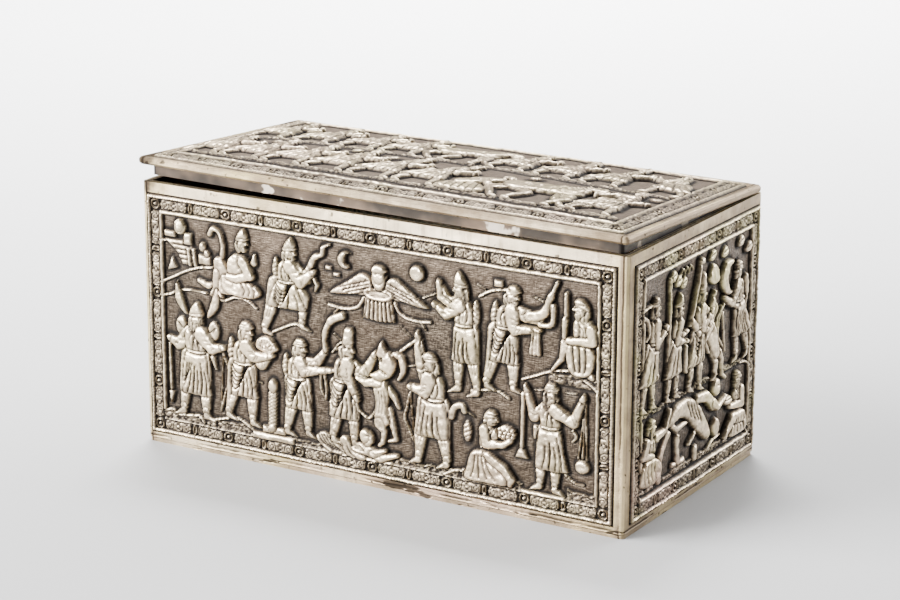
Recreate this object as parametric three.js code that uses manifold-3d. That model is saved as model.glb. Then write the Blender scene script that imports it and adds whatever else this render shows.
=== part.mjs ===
import * as THREE from "three";
import { mergeVertices } from "three/addons/utils/BufferGeometryUtils.js";
import Module from "manifold-3d";

const wasm = await Module();
wasm.setup();

// A rectangular casket of silver sheet, embossed on its four sides and on its loose lid.
// Millimetres, +Z up, front towards -Y, origin at the centre of the underside.

// Casket body
const LENGTH = 200;
const DEPTH = 104;
const HEIGHT = 100;
const WALL = 2.6;
const CORNER_RADIUS = 1.5;
const BASE_THICKNESS = 1.4;
const BASE_INSET = 0.3;

// Clear space left between pieces that touch or are soldered together
const SEAM = 0.3;

// Plain strips of the walls round each embossed panel
const TOP_STRIP = 3.8;
const BOTTOM_STRIP = 3.9;
const NARROW_POST = 1.8;
const WIDE_POST = 3.9;

// Embossed sheets, set in a recess a little behind the plain strips
const SHEET = 1.0;
const SHEET_SETBACK = 0.2;

// Lid: a flat rim with a ledge that carries the domed sheet, and a strip below that drops inside the walls
const LID_OVERHANG = 0.4;
const RIM_THICKNESS = 2.8;
const RIM_WIDTH = 3.6;
const RIM_EDGE_ROUND = 0.8;
const LEDGE_THICKNESS = 0.9;
const LEDGE_WIDTH = 3.0;
const FLANGE_HEIGHT = 3.7;
const FLANGE_THICKNESS = 1.0;
const FLANGE_CLEARANCE = 0.8;
const BORDER_SLOPE_RISE = 1.3;
const DOME_RISE = 1.9;

// The lid lies a little forward, so that the front of its strip stands on the rim, and is slightly twisted
const LID_FORWARD = 1.6;
const LID_TWIST = 2.3;

// Raised work, in millimetres above the ground of the sheet
const FIGURE_RELIEF = 2.3;
const LIMB_RELIEF = 1.5;
const CLOTH_RELIEF = 1.9;
const THING_RELIEF = 1.3;
const FILLET_RELIEF = 0.8;
const ORNAMENT_RELIEF = 0.7;
const FOOT_SUNK = 0.5;

// Ornamental border inside each panel's edge: a fillet, a band of ornament, and a second fillet
const OUTER_FILLET_IN = 0.9;
const FILLET_HALF_WIDTH = 0.6;
const BAND_WIDTH = 4.4;
const ORNAMENT_PITCH = 32;

// A standing man's measures, as shares of his height
const HIP = 0.53;
const TORSO = 0.24;
const HEAD = 0.35;
const ARM_BONE = 0.18;
const LEG_BONE = 0.28;
const SKIRT_FOLDS = 2;
const SKIRT_FLARE = 0.07;

// The drawings that the figures were laid out on; places on a panel follow its real size from these
const LONG_DRAWING = [200, 100];
const END_DRAWING = [104, 100];
const LID_DRAWING = [200, 104];

// A closed mesh as a solid that can be joined and cut.
function solid(geometry) {
  const loose = geometry.index ? geometry.toNonIndexed() : geometry;
  const bare = new THREE.BufferGeometry();
  bare.setAttribute("position", loose.getAttribute("position"));
  const merged = mergeVertices(bare, 1e-4);
  const corners = merged.index.array;
  const triangles = [];
  for (let i = 0; i < corners.length; i += 3) {
    const [a, b, c] = corners.slice(i, i + 3);
    if (a !== b && b !== c && c !== a) triangles.push(a, b, c);
  }
  const vertProperties = merged.getAttribute("position").array;
  const triVerts = new Uint32Array(triangles);
  return new wasm.Manifold(new wasm.Mesh({ numProp: 3, vertProperties, triVerts }));
}

// The solid back as a geometry that a mesh can hold.
function geometryOf(body) {
  const mesh = body.getMesh();
  const geometry = new THREE.BufferGeometry();
  geometry.setAttribute("position", new THREE.BufferAttribute(mesh.vertProperties, 3));
  geometry.setIndex(new THREE.BufferAttribute(mesh.triVerts, 1));
  return geometry;
}

// A solid from corner points and triangles of their numbers.
function solidFrom(points, triangles) {
  const geometry = new THREE.BufferGeometry();
  const position = new THREE.Float32BufferAttribute(points.flat(), 3);
  geometry.setAttribute("position", position);
  geometry.setIndex(triangles.flat());
  return solid(geometry);
}

function box([x0, x1], [y0, y1], [z0, z1]) {
  const geometry = new THREE.BoxGeometry(x1 - x0, y1 - y0, z1 - z0);
  geometry.translate((x0 + x1) / 2, (y0 + y1) / 2, (z0 + z1) / 2);
  return solid(geometry);
}

// A rectangle with rounded corners, about the origin.
function roundedOutline(outline, length, depth, radius) {
  const x = length / 2 - radius;
  const y = depth / 2 - radius;
  outline.absarc(x, y, radius, 0, Math.PI / 2);
  outline.absarc(-x, y, radius, Math.PI / 2, Math.PI);
  outline.absarc(-x, -y, radius, Math.PI, 1.5 * Math.PI);
  outline.absarc(x, -y, radius, 1.5 * Math.PI, 2 * Math.PI);
  return outline;
}

// A plate from one height to another, with a rectangular opening where one is given.
function plate(length, depth, radius, bottom, top, opening = null, edge = 0) {
  const outline = roundedOutline(new THREE.Shape(), length, depth, radius);
  if (opening) {
    const [openLength, openDepth] = opening;
    outline.holes.push(roundedOutline(new THREE.Path(), openLength, openDepth, radius / 2));
  }
  const geometry = new THREE.ExtrudeGeometry(outline, {
    depth: top - bottom - 2 * edge,
    curveSegments: 2,
    bevelEnabled: edge > 0,
    bevelThickness: edge,
    bevelSize: edge,
    bevelOffset: -edge,
    bevelSegments: 1,
  });
  geometry.translate(0, 0, bottom + edge);
  return solid(geometry);
}

// A raised shape on a panel, from its foot outline, sunk into the sheet, to its crest outline.
function mound(ground, foot, crest, relief) {
  const count = foot.length;
  const low = foot.map(([u, v]) => [u, v, ground(u, v) - FOOT_SUNK]);
  const high = crest.map(([u, v]) => [u, v, ground(u, v) + relief]);
  const faces = [];
  for (let i = 1; i < count - 1; i++) {
    faces.push([0, i + 1, i]);
    faces.push([count, count + i, count + i + 1]);
  }
  for (let i = 0; i < count; i++) {
    const next = (i + 1) % count;
    faces.push([i, next, count + next]);
    faces.push([i, count + next, count + i]);
  }
  return solidFrom([...low, ...high], faces);
}

// A tapered ridge along two or more points, such as an arm, a shaft, or a fillet that closes on itself.
function ridge(ground, points, halves, relief, closed = false) {
  const count = points.length;
  const spans = closed ? count : count - 1;
  const normals = points.map(([u, v], i) => {
    const [nextU, nextV] = points[(i + 1) % count];
    const length = Math.hypot(nextU - u, nextV - v);
    return [-(nextV - v) / length, (nextU - u) / length];
  });
  const miter = (i) => {
    const before = i > 0 || closed ? normals[(i + count - 1) % count] : normals[i];
    const after = i < count - 1 || closed ? normals[i] : before;
    const spread = Math.max(1 + before[0] * after[0] + before[1] * after[1], 0.7);
    return [(before[0] + after[0]) / spread, (before[1] + after[1]) / spread];
  };
  const level = ([u, v], height) => [u, v, ground(u, v) + height];
  const offset = (i, side) => {
    const [nu, nv] = miter(i);
    const half = halves[i] * side;
    return level([points[i][0] + nu * half, points[i][1] + nv * half], -FOOT_SUNK);
  };
  const numbers = points.map((_, i) => i);
  const left = numbers.map((i) => offset(i, 1));
  const right = numbers.map((i) => offset(i, -1));
  const crest = points.map((point) => level(point, relief));
  const [L, R, C] = [0, count, 2 * count];
  const faces = [];
  const quad = (a, b, c, d) => faces.push([a, b, c], [a, c, d]);
  for (let i = 0; i < spans; i++) {
    const next = (i + 1) % count;
    quad(L + i, L + next, R + next, R + i);
    quad(R + i, R + next, C + next, C + i);
    quad(L + next, L + i, C + i, C + next);
  }
  if (!closed) {
    const last = count - 1;
    faces.push([L, R, C], [R + last, L + last, C + last]);
  }
  return solidFrom([...left, ...right, ...crest], faces);
}

// Pleated cloth that spreads from one point to a hem, whose points lie at its foot and its crest in turn.
function pleats(ground, apex, hem, relief) {
  const outline = [apex, ...hem];
  const count = outline.length;
  const low = outline.map(([u, v]) => [u, v, ground(u, v) - FOOT_SUNK]);
  const high = outline.map(([u, v], i) => [u, v, i % 2 === 0 ? ground(u, v) + relief : low[i][2]]);
  const faces = [];
  for (let i = 1; i < count - 1; i++) {
    faces.push([0, i + 1, i]);
    faces.push([count, count + i, count + i + 1]);
  }
  for (let i = 0; i < count; i++) {
    const next = (i + 1) % count;
    faces.push([i, next, count + next]);
    faces.push([i, count + next, count + i]);
  }
  return solidFrom([...low, ...high], faces);
}

// A round boss: a head, a fruit or a disc.
function boss(ground, [u, v], halfU, halfV, relief, sides = 6, flat = 0) {
  const at = (i, share) => {
    const angle = ((i + 0.5) * 2 * Math.PI) / sides;
    return [u + halfU * share * Math.cos(angle), v + halfV * share * Math.sin(angle)];
  };
  const steps = [...Array(sides).keys()];
  return mound(ground, steps.map((i) => at(i, 1)), steps.map((i) => at(i, flat)), relief);
}

// The bend between two equal bones that join a root to a tip.
function bend([au, av], [bu, bv], bone, side) {
  const reach = Math.hypot(bu - au, bv - av);
  const half = reach / 2;
  const bulge = Math.sqrt(Math.max(bone * bone - half * half, 0)) * side;
  return [
    (au + bu) / 2 - ((bv - av) / reach) * bulge,
    (av + bv) / 2 + ((bu - au) / reach) * bulge,
  ];
}

// A man in a belted, pleated coat and a tall cap. Hands and feet are [forward, up] shares of his height.
function man(draw, spec) {
  const { at, tall, faces = 1, turn = 0, hip = HIP, lean = 0.02 } = spec;
  const { hands, feet, crown = false } = spec;
  const height = tall * draw.scale;
  const [u0, v0] = draw.place(at);
  const [cos, sin] = [Math.cos(turn), Math.sin(turn)];
  const place = ([forward, up]) => {
    const [u, v] = [faces * forward * height, up * height];
    return [u0 + u * cos - v * sin, v0 + u * sin + v * cos];
  };
  const along = (points, halves, relief) =>
    draw.ridge(points, halves.map((half) => half * height), relief);
  const pelvis = place([0, hip]);
  const shoulder = place([lean, hip + TORSO]);
  const head = place([lean * 1.6 + 0.01, hip + HEAD]);
  const hatTop = place([lean * 1.6 - 0.01, hip + HEAD + (crown ? 0.15 : 0.12)]);
  const knees = feet.map((foot) => bend(pelvis, place(foot), LEG_BONE * height, faces));
  feet.forEach(([forward, up], i) => {
    along([knees[i], place([forward + 0.03, up])], [0.08, 0.045], LIMB_RELIEF);
  });
  const stride = Math.max(Math.hypot(knees[0][0] - knees[1][0], knees[0][1] - knees[1][1]), 0.01);
  const flare = (SKIRT_FLARE * height) / stride;
  const hem = [...Array(2 * SKIRT_FOLDS - 1).keys()].map((i) => {
    const share = (i / (2 * SKIRT_FOLDS - 2)) * (1 + 2 * flare) - flare;
    return [0, 1].map((axis) => knees[1][axis] + (knees[0][axis] - knees[1][axis]) * share);
  });
  const waist = place([0, hip + 0.06]);
  const cross = (hem[0][0] - waist[0]) * (hem[1][1] - waist[1])
    - (hem[0][1] - waist[1]) * (hem[1][0] - waist[0]);
  draw.pleats(waist, cross > 0 ? hem : hem.reverse(), CLOTH_RELIEF);
  along([pelvis, shoulder, head, hatTop], [0.1, 0.13, 0.08, crown ? 0.07 : 0.04], FIGURE_RELIEF);
  const [near, far] = hands.map(place);
  const elbow = bend(shoulder, near, ARM_BONE * height, -faces);
  along([shoulder, elbow, near], [0.065, 0.06, 0.04], CLOTH_RELIEF);
  if (far) along([shoulder, far], [0.06, 0.04], CLOTH_RELIEF);
}

// A four-footed beast. Its body slopes from rump to chest by an angle, and its legs reach down to the ground.
function beast(draw, spec) {
  const { at, long, faces = 1, rear = 0.1, neck = 0.9, legs, tailUp = 0.1 } = spec;
  const size = long * draw.scale;
  const [u0, v0] = draw.place(at);
  const place = ([forward, up]) => [u0 + faces * forward * size, v0 + up * size];
  const along = (points, halves, relief) =>
    draw.ridge(points.map(place), halves.map((half) => half * size), relief);
  const rump = [-0.3, 0.5];
  const chest = [rump[0] + 0.56 * Math.cos(rear), rump[1] + 0.56 * Math.sin(rear)];
  const poll = [chest[0] + 0.24 * Math.cos(rear + neck), chest[1] + 0.24 * Math.sin(rear + neck)];
  const muzzle = [poll[0] + 0.17, poll[1] - 0.05];
  const tailTip = [rump[0] - 0.16, rump[1] + tailUp];
  legs.forEach((foot, i) => along([i < 2 ? chest : rump, foot], [0.07, 0.03], LIMB_RELIEF));
  along([tailTip, rump, chest, poll, muzzle], [0.02, 0.13, 0.15, 0.07, 0.035], FIGURE_RELIEF);
}

// Things that the figures hold or stand among
function rod(draw, from, to, half = 0.6) {
  const width = half * draw.scale;
  draw.ridge([draw.place(from), draw.place(to)], [width, width], THING_RELIEF);
}

function bow(draw, from, to, belly) {
  const width = 0.55 * draw.scale;
  draw.ridge([from, belly, to].map(draw.place), [width, width, width], THING_RELIEF);
}

function disc(draw, at, radius) {
  draw.boss(draw.place(at), radius * draw.scale, radius * draw.scale, CLOTH_RELIEF, 6, 0.5);
}

function block(draw, [u, v], wide, high) {
  const corners = [[-1, -1], [1, -1], [1, 1], [-1, 1]];
  const outline = (share) =>
    corners.map(([i, j]) => draw.place([u + (i * wide * share) / 2, v + (j * high * share) / 2]));
  draw.mound(outline(1), outline(0.6), THING_RELIEF);
}

function cypress(draw, [u, v], high) {
  rod(draw, [u, v], [u, v + high * 0.25], 0.8);
  const crest = draw.place([u, v + high * 0.45]);
  const foot = [[0, 0.15], [0.12, 0.4], [0.07, 0.75], [0, 1], [-0.07, 0.75], [-0.12, 0.4]];
  const outline = foot.map(([du, dv]) => draw.place([u + du * high, v + dv * high]));
  draw.mound(outline, outline.map(() => crest), CLOTH_RELIEF);
}

// A winged disc with a figure rising from it and its pleated tail below
function wingedDisc(draw, [u, v], span) {
  const FEATHERS = 3;
  for (const side of [-1, 1]) {
    for (let i = 0; i < FEATHERS; i++) {
      const droop = -0.02 - 0.1 * i;
      const root = [u + side * 0.1 * span, v + 0.05 * span - i * 0.055 * span];
      const tip = [u + side * (0.5 - 0.07 * i) * span, v + droop * span];
      draw.ridge([draw.place(root), draw.place(tip)], [1.5, 1.1], LIMB_RELIEF);
    }
    rod(draw, [u + side * 0.12 * span, v - 0.08 * span], [u + side * 0.44 * span, v - 0.22 * span]);
  }
  rod(draw, [u, v - 0.04 * span], [u, v - 0.26 * span], 4.2);
  draw.boss(draw.place([u, v]), 0.14 * span, 0.05 * span, CLOTH_RELIEF);
  draw.boss(draw.place([u, v + 0.18 * span]), 2.6, 3.4, FIGURE_RELIEF);
}

const BOTH_FEET = [[0.14, 0.01], [-0.12, 0.01]];

// The front: a king's scene below, musicians, guards and kneeling servants round it
function frontScene(draw) {
  for (const [u, v, wide, high] of [[12.5, 82, 4, 3.5], [20.5, 80.5, 4, 4], [27.5, 75, 6, 4]]) {
    block(draw, [u, v], wide, high);
  }
  for (const u of [18, 21, 24]) rod(draw, [u, 71], [u, 78], 0.9);
  rod(draw, [8.5, 61], [20, 68], 1.2);
  rod(draw, [20, 68], [30, 69], 1.2);
  disc(draw, [17, 86], 2);
  disc(draw, [89, 83], 2.8);
  disc(draw, [118, 82.5], 2.8);
  wingedDisc(draw, [102, 72.5], 42);
  man(draw, { at: [43, 61], tall: 38, faces: -1, hip: 0.2, hands: [[0.2, 0.3]],
    feet: [[0.29, 0.03], [-0.2, 0.05]] });
  bow(draw, [33, 84], [34, 64], [37, 78]);
  man(draw, { at: [63, 49], tall: 39, hands: [[0.3, 0.67], [0.34, 0.78]],
    feet: [[0.27, 0.12], [-0.17, 0.02]] });
  rod(draw, [76, 79], [81, 87], 1);
  man(draw, { at: [23, 13], tall: 46, hands: [[0.28, 0.63], [-0.26, 0.61]],
    feet: [[0.17, 0.01], [-0.2, 0.01]] });
  rod(draw, [11, 50], [11.5, 17], 0.7);
  bow(draw, [35, 41], [34, 17], [38.5, 31]);
  rod(draw, [30, 43], [33, 59], 1.3);
  rod(draw, [18, 43], [16, 62], 1.3);
  man(draw, { at: [45, 13], tall: 43, hands: [[0.27, 0.66]],
    feet: [[0.16, 0.02], [-0.09, 0.04]] });
  disc(draw, [54, 45], 4.4);
  rod(draw, [57, 14], [57, 29], 1.7);
  disc(draw, [57, 31], 2.3);
  block(draw, [57, 12], 17, 3);
  man(draw, { at: [68, 13], tall: 41, hands: [[0.39, 0.73], [0.29, 0.86]],
    feet: [[0.17, 0.02], [-0.06, 0.01]] });
  rod(draw, [80, 50], [87, 61], 1.2);
  man(draw, { at: [87.5, 14], tall: 44, crown: true, hands: [[0.13, 0.42], [0.36, 0.9]],
    feet: [[0.16, 0.01], [-0.05, 0.01]] });
  man(draw, { at: [88, 13.5], tall: 36, turn: -Math.PI / 2, faces: -1, hip: 0.25,
    hands: [[-0.02, 0.62], [0.05, 0.64]], feet: [[0.02, -0.25], [-0.05, -0.28]] });
  beast(draw, { at: [104, 17], long: 33, faces: 1, rear: 1.2, neck: -0.3, tailUp: -0.1,
    legs: [[-0.33, 0.7], [0.16, 0.45], [-0.04, 0], [0.18, 0.02]] });
  man(draw, { at: [124.5, 12], tall: 45, faces: -1, hands: [[0.21, 0.63], [0.15, 1.02]],
    feet: [[0.16, 0.01], [-0.05, 0.02]] });
  bow(draw, [115, 41], [117, 20], [112.5, 30]);
  rod(draw, [118, 58], [111, 53], 0.8);
  man(draw, { at: [136.5, 41], tall: 44, faces: -1, hands: [[0.26, 0.69], [0.21, 0.84]],
    feet: [[0.08, 0.02], [-0.08, 0.01]] });
  rod(draw, [143, 66], [146.5, 76], 1.8);
  man(draw, { at: [153, 45], tall: 41, hands: [[0.32, 0.61], [0.41, 0.88]],
    feet: [[0.17, 0.01], [-0.07, 0.02]] });
  rod(draw, [166, 69], [164, 60], 1.6);
  man(draw, { at: [184, 54], tall: 41, faces: -1, hip: 0.3, hands: [[0.17, 0.38]],
    feet: [[0.2, 0.12], [-0.08, 0.05]] });
  rod(draw, [177, 72], [177, 83.5], 1);
  man(draw, { at: [147, 11], tall: 38, hip: 0.28, hands: [[0.22, 0.36]],
    feet: [[0.18, 0.03], [-0.2, 0.03]] });
  disc(draw, [154.5, 30], 4);
  man(draw, { at: [172, 11], tall: 42, hands: [[-0.24, 0.88], [0.29, 0.88]],
    feet: [[0.1, 0.01], [-0.17, 0.02]] });
  rod(draw, [161.5, 46], [161, 26], 0.5);
  rod(draw, [185, 47], [184, 26], 0.5);
  block(draw, [161, 24], 5, 3.5);
  disc(draw, [184, 24], 2.8);
  for (const [u, v] of [[166, 53], [147, 44], [130, 13], [150, 13], [180, 51]]) {
    block(draw, [u, v], 8, 3);
  }
}

// The right end: a king with guards, an archer, and fallen riders below
function rightScene(draw) {
  man(draw, { at: [18, 41], tall: 43, hands: [[0.27, 0.65]], feet: BOTH_FEET });
  rod(draw, [29.5, 43], [29.5, 85], 0.7);
  man(draw, { at: [36, 40], tall: 39, hands: [[0.23, 0.55]], feet: BOTH_FEET });
  rod(draw, [43.5, 58], [43.5, 49], 1);
  man(draw, { at: [54, 38], tall: 42, crown: true, hands: [[0.22, 0.62], [-0.2, 0.66]],
    feet: BOTH_FEET });
  rod(draw, [46, 66], [52, 86], 0.8);
  beast(draw, { at: [70, 38], long: 28, faces: -1, rear: 0.9, neck: 0.1,
    legs: [[0.3, 0.62], [0.28, 0.4], [0.08, 0.02], [-0.22, 0.02]] });
  disc(draw, [64, 79], 3.6);
  man(draw, { at: [85, 41], tall: 40, faces: -1, hands: [[0.3, 0.68], [0.1, 0.66]],
    feet: BOTH_FEET });
  bow(draw, [77, 82], [74, 52], [71.5, 70]);
  man(draw, { at: [17, 13], tall: 36, hip: 0.32, hands: [[0.36, 0.66]],
    feet: [[0.2, 0.02], [-0.15, 0.03]] });
  beast(draw, { at: [54, 16], long: 36, faces: 1, rear: 0.12, neck: 0.6,
    legs: [[0.5, 0.05], [0.3, 0.02], [-0.42, 0.05], [-0.25, 0.02]] });
  rod(draw, [39, 14], [39, 27], 1.1);
  man(draw, { at: [86, 13], tall: 36, faces: -1, hip: 0.3, hands: [[0.24, 0.46]],
    feet: [[0.2, 0.02], [-0.16, 0.03]] });
  disc(draw, [77.5, 29], 3);
  for (const u of [33, 41, 63, 73, 86]) block(draw, [u, 85], 4, 3);
  for (const u of [26, 52, 68]) block(draw, [u, 13], 7, 3);
}

// The hidden long side: gift bearers walking between cypresses
function backScene(draw) {
  for (let i = 0; i < 5; i++) {
    const u = 26 + i * 37;
    man(draw, { at: [u, 16], tall: 58, hands: [[0.26, 0.65]], feet: BOTH_FEET });
    disc(draw, [u + 16, 55], 3.4);
    if (i < 4) cypress(draw, [u + 20, 16], 30);
  }
}

// The hidden end: two guards on either side of a cypress
function leftScene(draw) {
  for (const side of [-1, 1]) {
    man(draw, { at: [52 + side * 25, 16], tall: 58, faces: -side,
      hands: [[0.24, 0.62], [0.1, 0.5]], feet: BOTH_FEET });
    rod(draw, [52 + side * 11, 17], [52 + side * 11, 78], 0.8);
  }
  cypress(draw, [52, 16], 52);
}

// The lid: two ranks of walking men, with a horse, a lion and bowed porters among them
function lidScene(draw) {
  const FRONT_RANK = 17;
  const BACK_RANK = 56;
  const STRIDE = [[0.2, 0.01], [-0.17, 0.01]];
  const porters = { 95: 0.16, 116: 0.2 };
  for (const u of [15, 33, 51, 70, 95, 116, 176]) {
    const lean = porters[u] ?? 0.03;
    man(draw, { at: [u, FRONT_RANK], tall: 36, lean, hands: [[0.3, 0.6]],
      feet: STRIDE });
  }
  beast(draw, { at: [147, FRONT_RANK], long: 34, faces: 1, rear: 0.15, neck: 0.8,
    legs: [[0.42, 0.05], [0.24, 0.02], [-0.34, 0.02], [-0.2, 0.03]] });
  for (const u of [18, 38, 58, 118, 139, 160, 181]) {
    man(draw, { at: [u, BACK_RANK], tall: 34, faces: u > 150 ? -1 : 1, hands: [[0.27, 0.65]],
      feet: STRIDE });
  }
  beast(draw, { at: [88, BACK_RANK], long: 30, faces: 1, rear: 0.2, neck: 0.5,
    legs: [[0.46, 0.1], [0.26, 0.02], [-0.34, 0.02], [-0.18, 0.03]] });
}

// Two fillets round a panel and, between them where it is ornate, long bosses and round ones in turn.
function border(draw, [u0, u1], [v0, v1], ornate) {
  const fillet = (inset) => {
    const [a, b] = [u0 + inset, u1 - inset];
    const [c, d] = [v0 + inset, v1 - inset];
    const ring = [[a, c], [b, c], [b, d], [a, d]];
    draw.ridge(ring, ring.map(() => FILLET_HALF_WIDTH), FILLET_RELIEF, true);
  };
  const innerFilletIn = OUTER_FILLET_IN + BAND_WIDTH + 2 * FILLET_HALF_WIDTH;
  fillet(OUTER_FILLET_IN);
  fillet(innerFilletIn);
  if (!ornate) return;
  const middle = (OUTER_FILLET_IN + innerFilletIn) / 2;
  const half = BAND_WIDTH / 2 - 0.4;
  const run = (from, to) => {
    const [du, dv] = [to[0] - from[0], to[1] - from[1]];
    const length = Math.hypot(du, dv);
    const count = Math.max(1, Math.round(length / ORNAMENT_PITCH));
    const at = (share) => [from[0] + du * share, from[1] + dv * share];
    const reach = (0.24 * length) / count;
    for (let i = 0; i < count; i++) {
      const centre = (i + 0.5) / count;
      const step = reach / length;
      draw.boss(at(i / count), half, half, ORNAMENT_RELIEF, 4);
      draw.ridge([at(centre - step), at(centre + step)], [half, half], ORNAMENT_RELIEF);
    }
  };
  const [a, b] = [u0 + middle, u1 - middle];
  const [c, d] = [v0 + middle, v1 - middle];
  run([a, c], [b, c]);
  run([b, c], [b, d]);
  run([b, d], [a, d]);
  run([a, d], [a, c]);
}

// A sheet of even thickness whose face follows the ground, between grid lines.
function sheet(us, vs, ground) {
  const [columns, rows] = [us.length, vs.length];
  const faceAt = (i, j) => j * columns + i;
  const backAt = (i, j) => columns * rows + faceAt(i, j);
  const points = [];
  for (const under of [0, SHEET]) {
    for (const v of vs) {
      for (const u of us) points.push([u, v, ground(u, v) - under]);
    }
  }
  const faces = [];
  const quad = (a, b, c, d) => faces.push([a, b, c], [a, c, d]);
  for (let j = 0; j < rows - 1; j++) {
    for (let i = 0; i < columns - 1; i++) {
      quad(faceAt(i, j), faceAt(i + 1, j), faceAt(i + 1, j + 1), faceAt(i, j + 1));
      quad(backAt(i, j), backAt(i, j + 1), backAt(i + 1, j + 1), backAt(i + 1, j));
    }
  }
  for (let i = 0; i < columns - 1; i++) {
    quad(faceAt(i, 0), backAt(i, 0), backAt(i + 1, 0), faceAt(i + 1, 0));
    quad(faceAt(i + 1, rows - 1), backAt(i + 1, rows - 1), backAt(i, rows - 1), faceAt(i, rows - 1));
  }
  for (let j = 0; j < rows - 1; j++) {
    quad(faceAt(0, j + 1), backAt(0, j + 1), backAt(0, j), faceAt(0, j));
    quad(faceAt(columns - 1, j), backAt(columns - 1, j), backAt(columns - 1, j + 1),
      faceAt(columns - 1, j + 1));
  }
  return solidFrom(points, faces);
}

// An embossed sheet: its blank, its border and its scene, joined into one solid.
function embossed([width, height], drawing, us, vs, ground, scene, ornate) {
  const raised = [];
  const draw = {
    scale: Math.min(width / drawing[0], height / drawing[1]),
    place: ([u, v]) => [(u * width) / drawing[0], (v * height) / drawing[1]],
    mound: (foot, crest, relief) => raised.push(mound(ground, foot, crest, relief)),
    ridge: (points, halves, relief, closed) =>
      raised.push(ridge(ground, points, halves, relief, closed)),
    pleats: (apex, hem, relief) => raised.push(pleats(ground, apex, hem, relief)),
    boss: (at, halfU, halfV, relief, sides, flat) =>
      raised.push(boss(ground, at, halfU, halfV, relief, sides, flat)),
  };
  const [left, right] = [us[0], us[us.length - 1]];
  const [low, high] = [vs[0], vs[vs.length - 1]];
  border(draw, [left, right], [low, high], ornate);
  scene(draw);
  const top = ground((left + right) / 2, (low + high) / 2) + 2 * FIGURE_RELIEF;
  const overSheet = box([left, right], [low, high], [-SHEET, top]);
  const relief = raised.reduce((body, piece) => body.add(piece)).intersect(overSheet);
  return sheet(us, vs, ground).add(relief);
}

const silver = (color, roughness) =>
  new THREE.MeshStandardMaterial({ color, roughness, metalness: 1 });

function piece(name, geometry, material) {
  const mesh = new THREE.Mesh(geometry, material);
  mesh.name = name;
  return mesh;
}

const wallFoot = BASE_THICKNESS + SEAM;
const recessDepth = SHEET_SETBACK + SHEET + SEAM;

// The four embossed sides, seen from outside, anticlockwise from the front
const SIDES = [
  { name: "front_panel", width: LENGTH, out: DEPTH / 2, posts: [NARROW_POST, WIDE_POST],
    drawing: LONG_DRAWING, scene: frontScene, ornate: true },
  { name: "right_panel", width: DEPTH, out: LENGTH / 2, posts: [WIDE_POST, NARROW_POST],
    drawing: END_DRAWING, scene: rightScene, ornate: true },
  { name: "back_panel", width: LENGTH, out: DEPTH / 2, posts: [WIDE_POST, WIDE_POST],
    drawing: LONG_DRAWING, scene: backScene, ornate: false },
  { name: "left_panel", width: DEPTH, out: LENGTH / 2, posts: [WIDE_POST, NARROW_POST],
    drawing: END_DRAWING, scene: leftScene, ornate: false },
];

// Where a side's recess lies on its wall, from the wall's own lower left corner
function recessOf({ width, posts }) {
  return [[posts[0], width - posts[1]], [BOTTOM_STRIP, HEIGHT - TOP_STRIP]];
}

// Turns a side's local frame (right, up, outwards) to its place on the casket.
function onSide(side, index) {
  const stand = new THREE.Matrix4().makeRotationX(Math.PI / 2);
  const turn = new THREE.Matrix4().makeRotationZ((index * Math.PI) / 2);
  const shift = new THREE.Matrix4().makeTranslation(-side.width / 2, -side.out, 0);
  return turn.multiply(shift).multiply(stand);
}

function caseWalls() {
  const opening = [LENGTH - 2 * WALL, DEPTH - 2 * WALL];
  let walls = plate(LENGTH, DEPTH, CORNER_RADIUS, wallFoot, HEIGHT, opening);
  SIDES.forEach((side, index) => {
    const [us, vs] = recessOf(side);
    const cutter = geometryOf(box(us, vs, [-recessDepth, WALL]));
    walls = walls.subtract(solid(cutter.applyMatrix4(onSide(side, index))));
  });
  return piece("case", geometryOf(walls), silver("#c9c4b8", 0.3));
}

function basePlate() {
  const [length, depth] = [LENGTH - 2 * BASE_INSET, DEPTH - 2 * BASE_INSET];
  const body = plate(length, depth, CORNER_RADIUS, 0, BASE_THICKNESS);
  return piece("base_plate", geometryOf(body), silver("#b3a98f", 0.4));
}

function sidePanel(side, index) {
  const [us, vs] = recessOf(side);
  const [left, right] = [us[0] + SEAM, us[1] - SEAM];
  const [low, high] = [vs[0] + SEAM, vs[1] - SEAM];
  const ground = () => -SHEET_SETBACK;
  const size = [side.width, HEIGHT];
  const body = embossed(size, side.drawing, [left, right], [low, high], ground, side.scene,
    side.ornate);
  const mesh = piece(side.name, geometryOf(body), silver("#d8d2c4", 0.35));
  mesh.applyMatrix4(onSide(side, index));
  return mesh;
}

const lidLength = LENGTH + 2 * LID_OVERHANG;
const lidDepth = DEPTH + 2 * LID_OVERHANG;
const flangeLength = LENGTH - 2 * WALL - 2 * FLANGE_CLEARANCE;
const flangeDepth = DEPTH - 2 * WALL - 2 * FLANGE_CLEARANCE;

// How high the underside of the lid lies above the rim, by a place on the lid
function liftAt(x, y) {
  const forward = (lidDepth / 2 - y) / lidDepth;
  const left = (lidLength / 2 - x) / lidLength;
  const forwardAtFoot = (lidDepth + flangeDepth) / 2 / lidDepth;
  const frontLift = (FLANGE_HEIGHT + SEAM) / forwardAtFoot;
  return SEAM + forward * (frontLift + LID_TWIST * left);
}

// Sets a piece of the lid, modelled flat about the origin, on the rim of the case.
function onRim(geometry) {
  const position = geometry.getAttribute("position");
  for (let i = 0; i < position.count; i++) {
    const [x, y, z] = [position.getX(i), position.getY(i), position.getZ(i)];
    position.setXYZ(i, x, y - LID_FORWARD, HEIGHT + z + liftAt(x, y));
  }
  return geometry;
}

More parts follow.
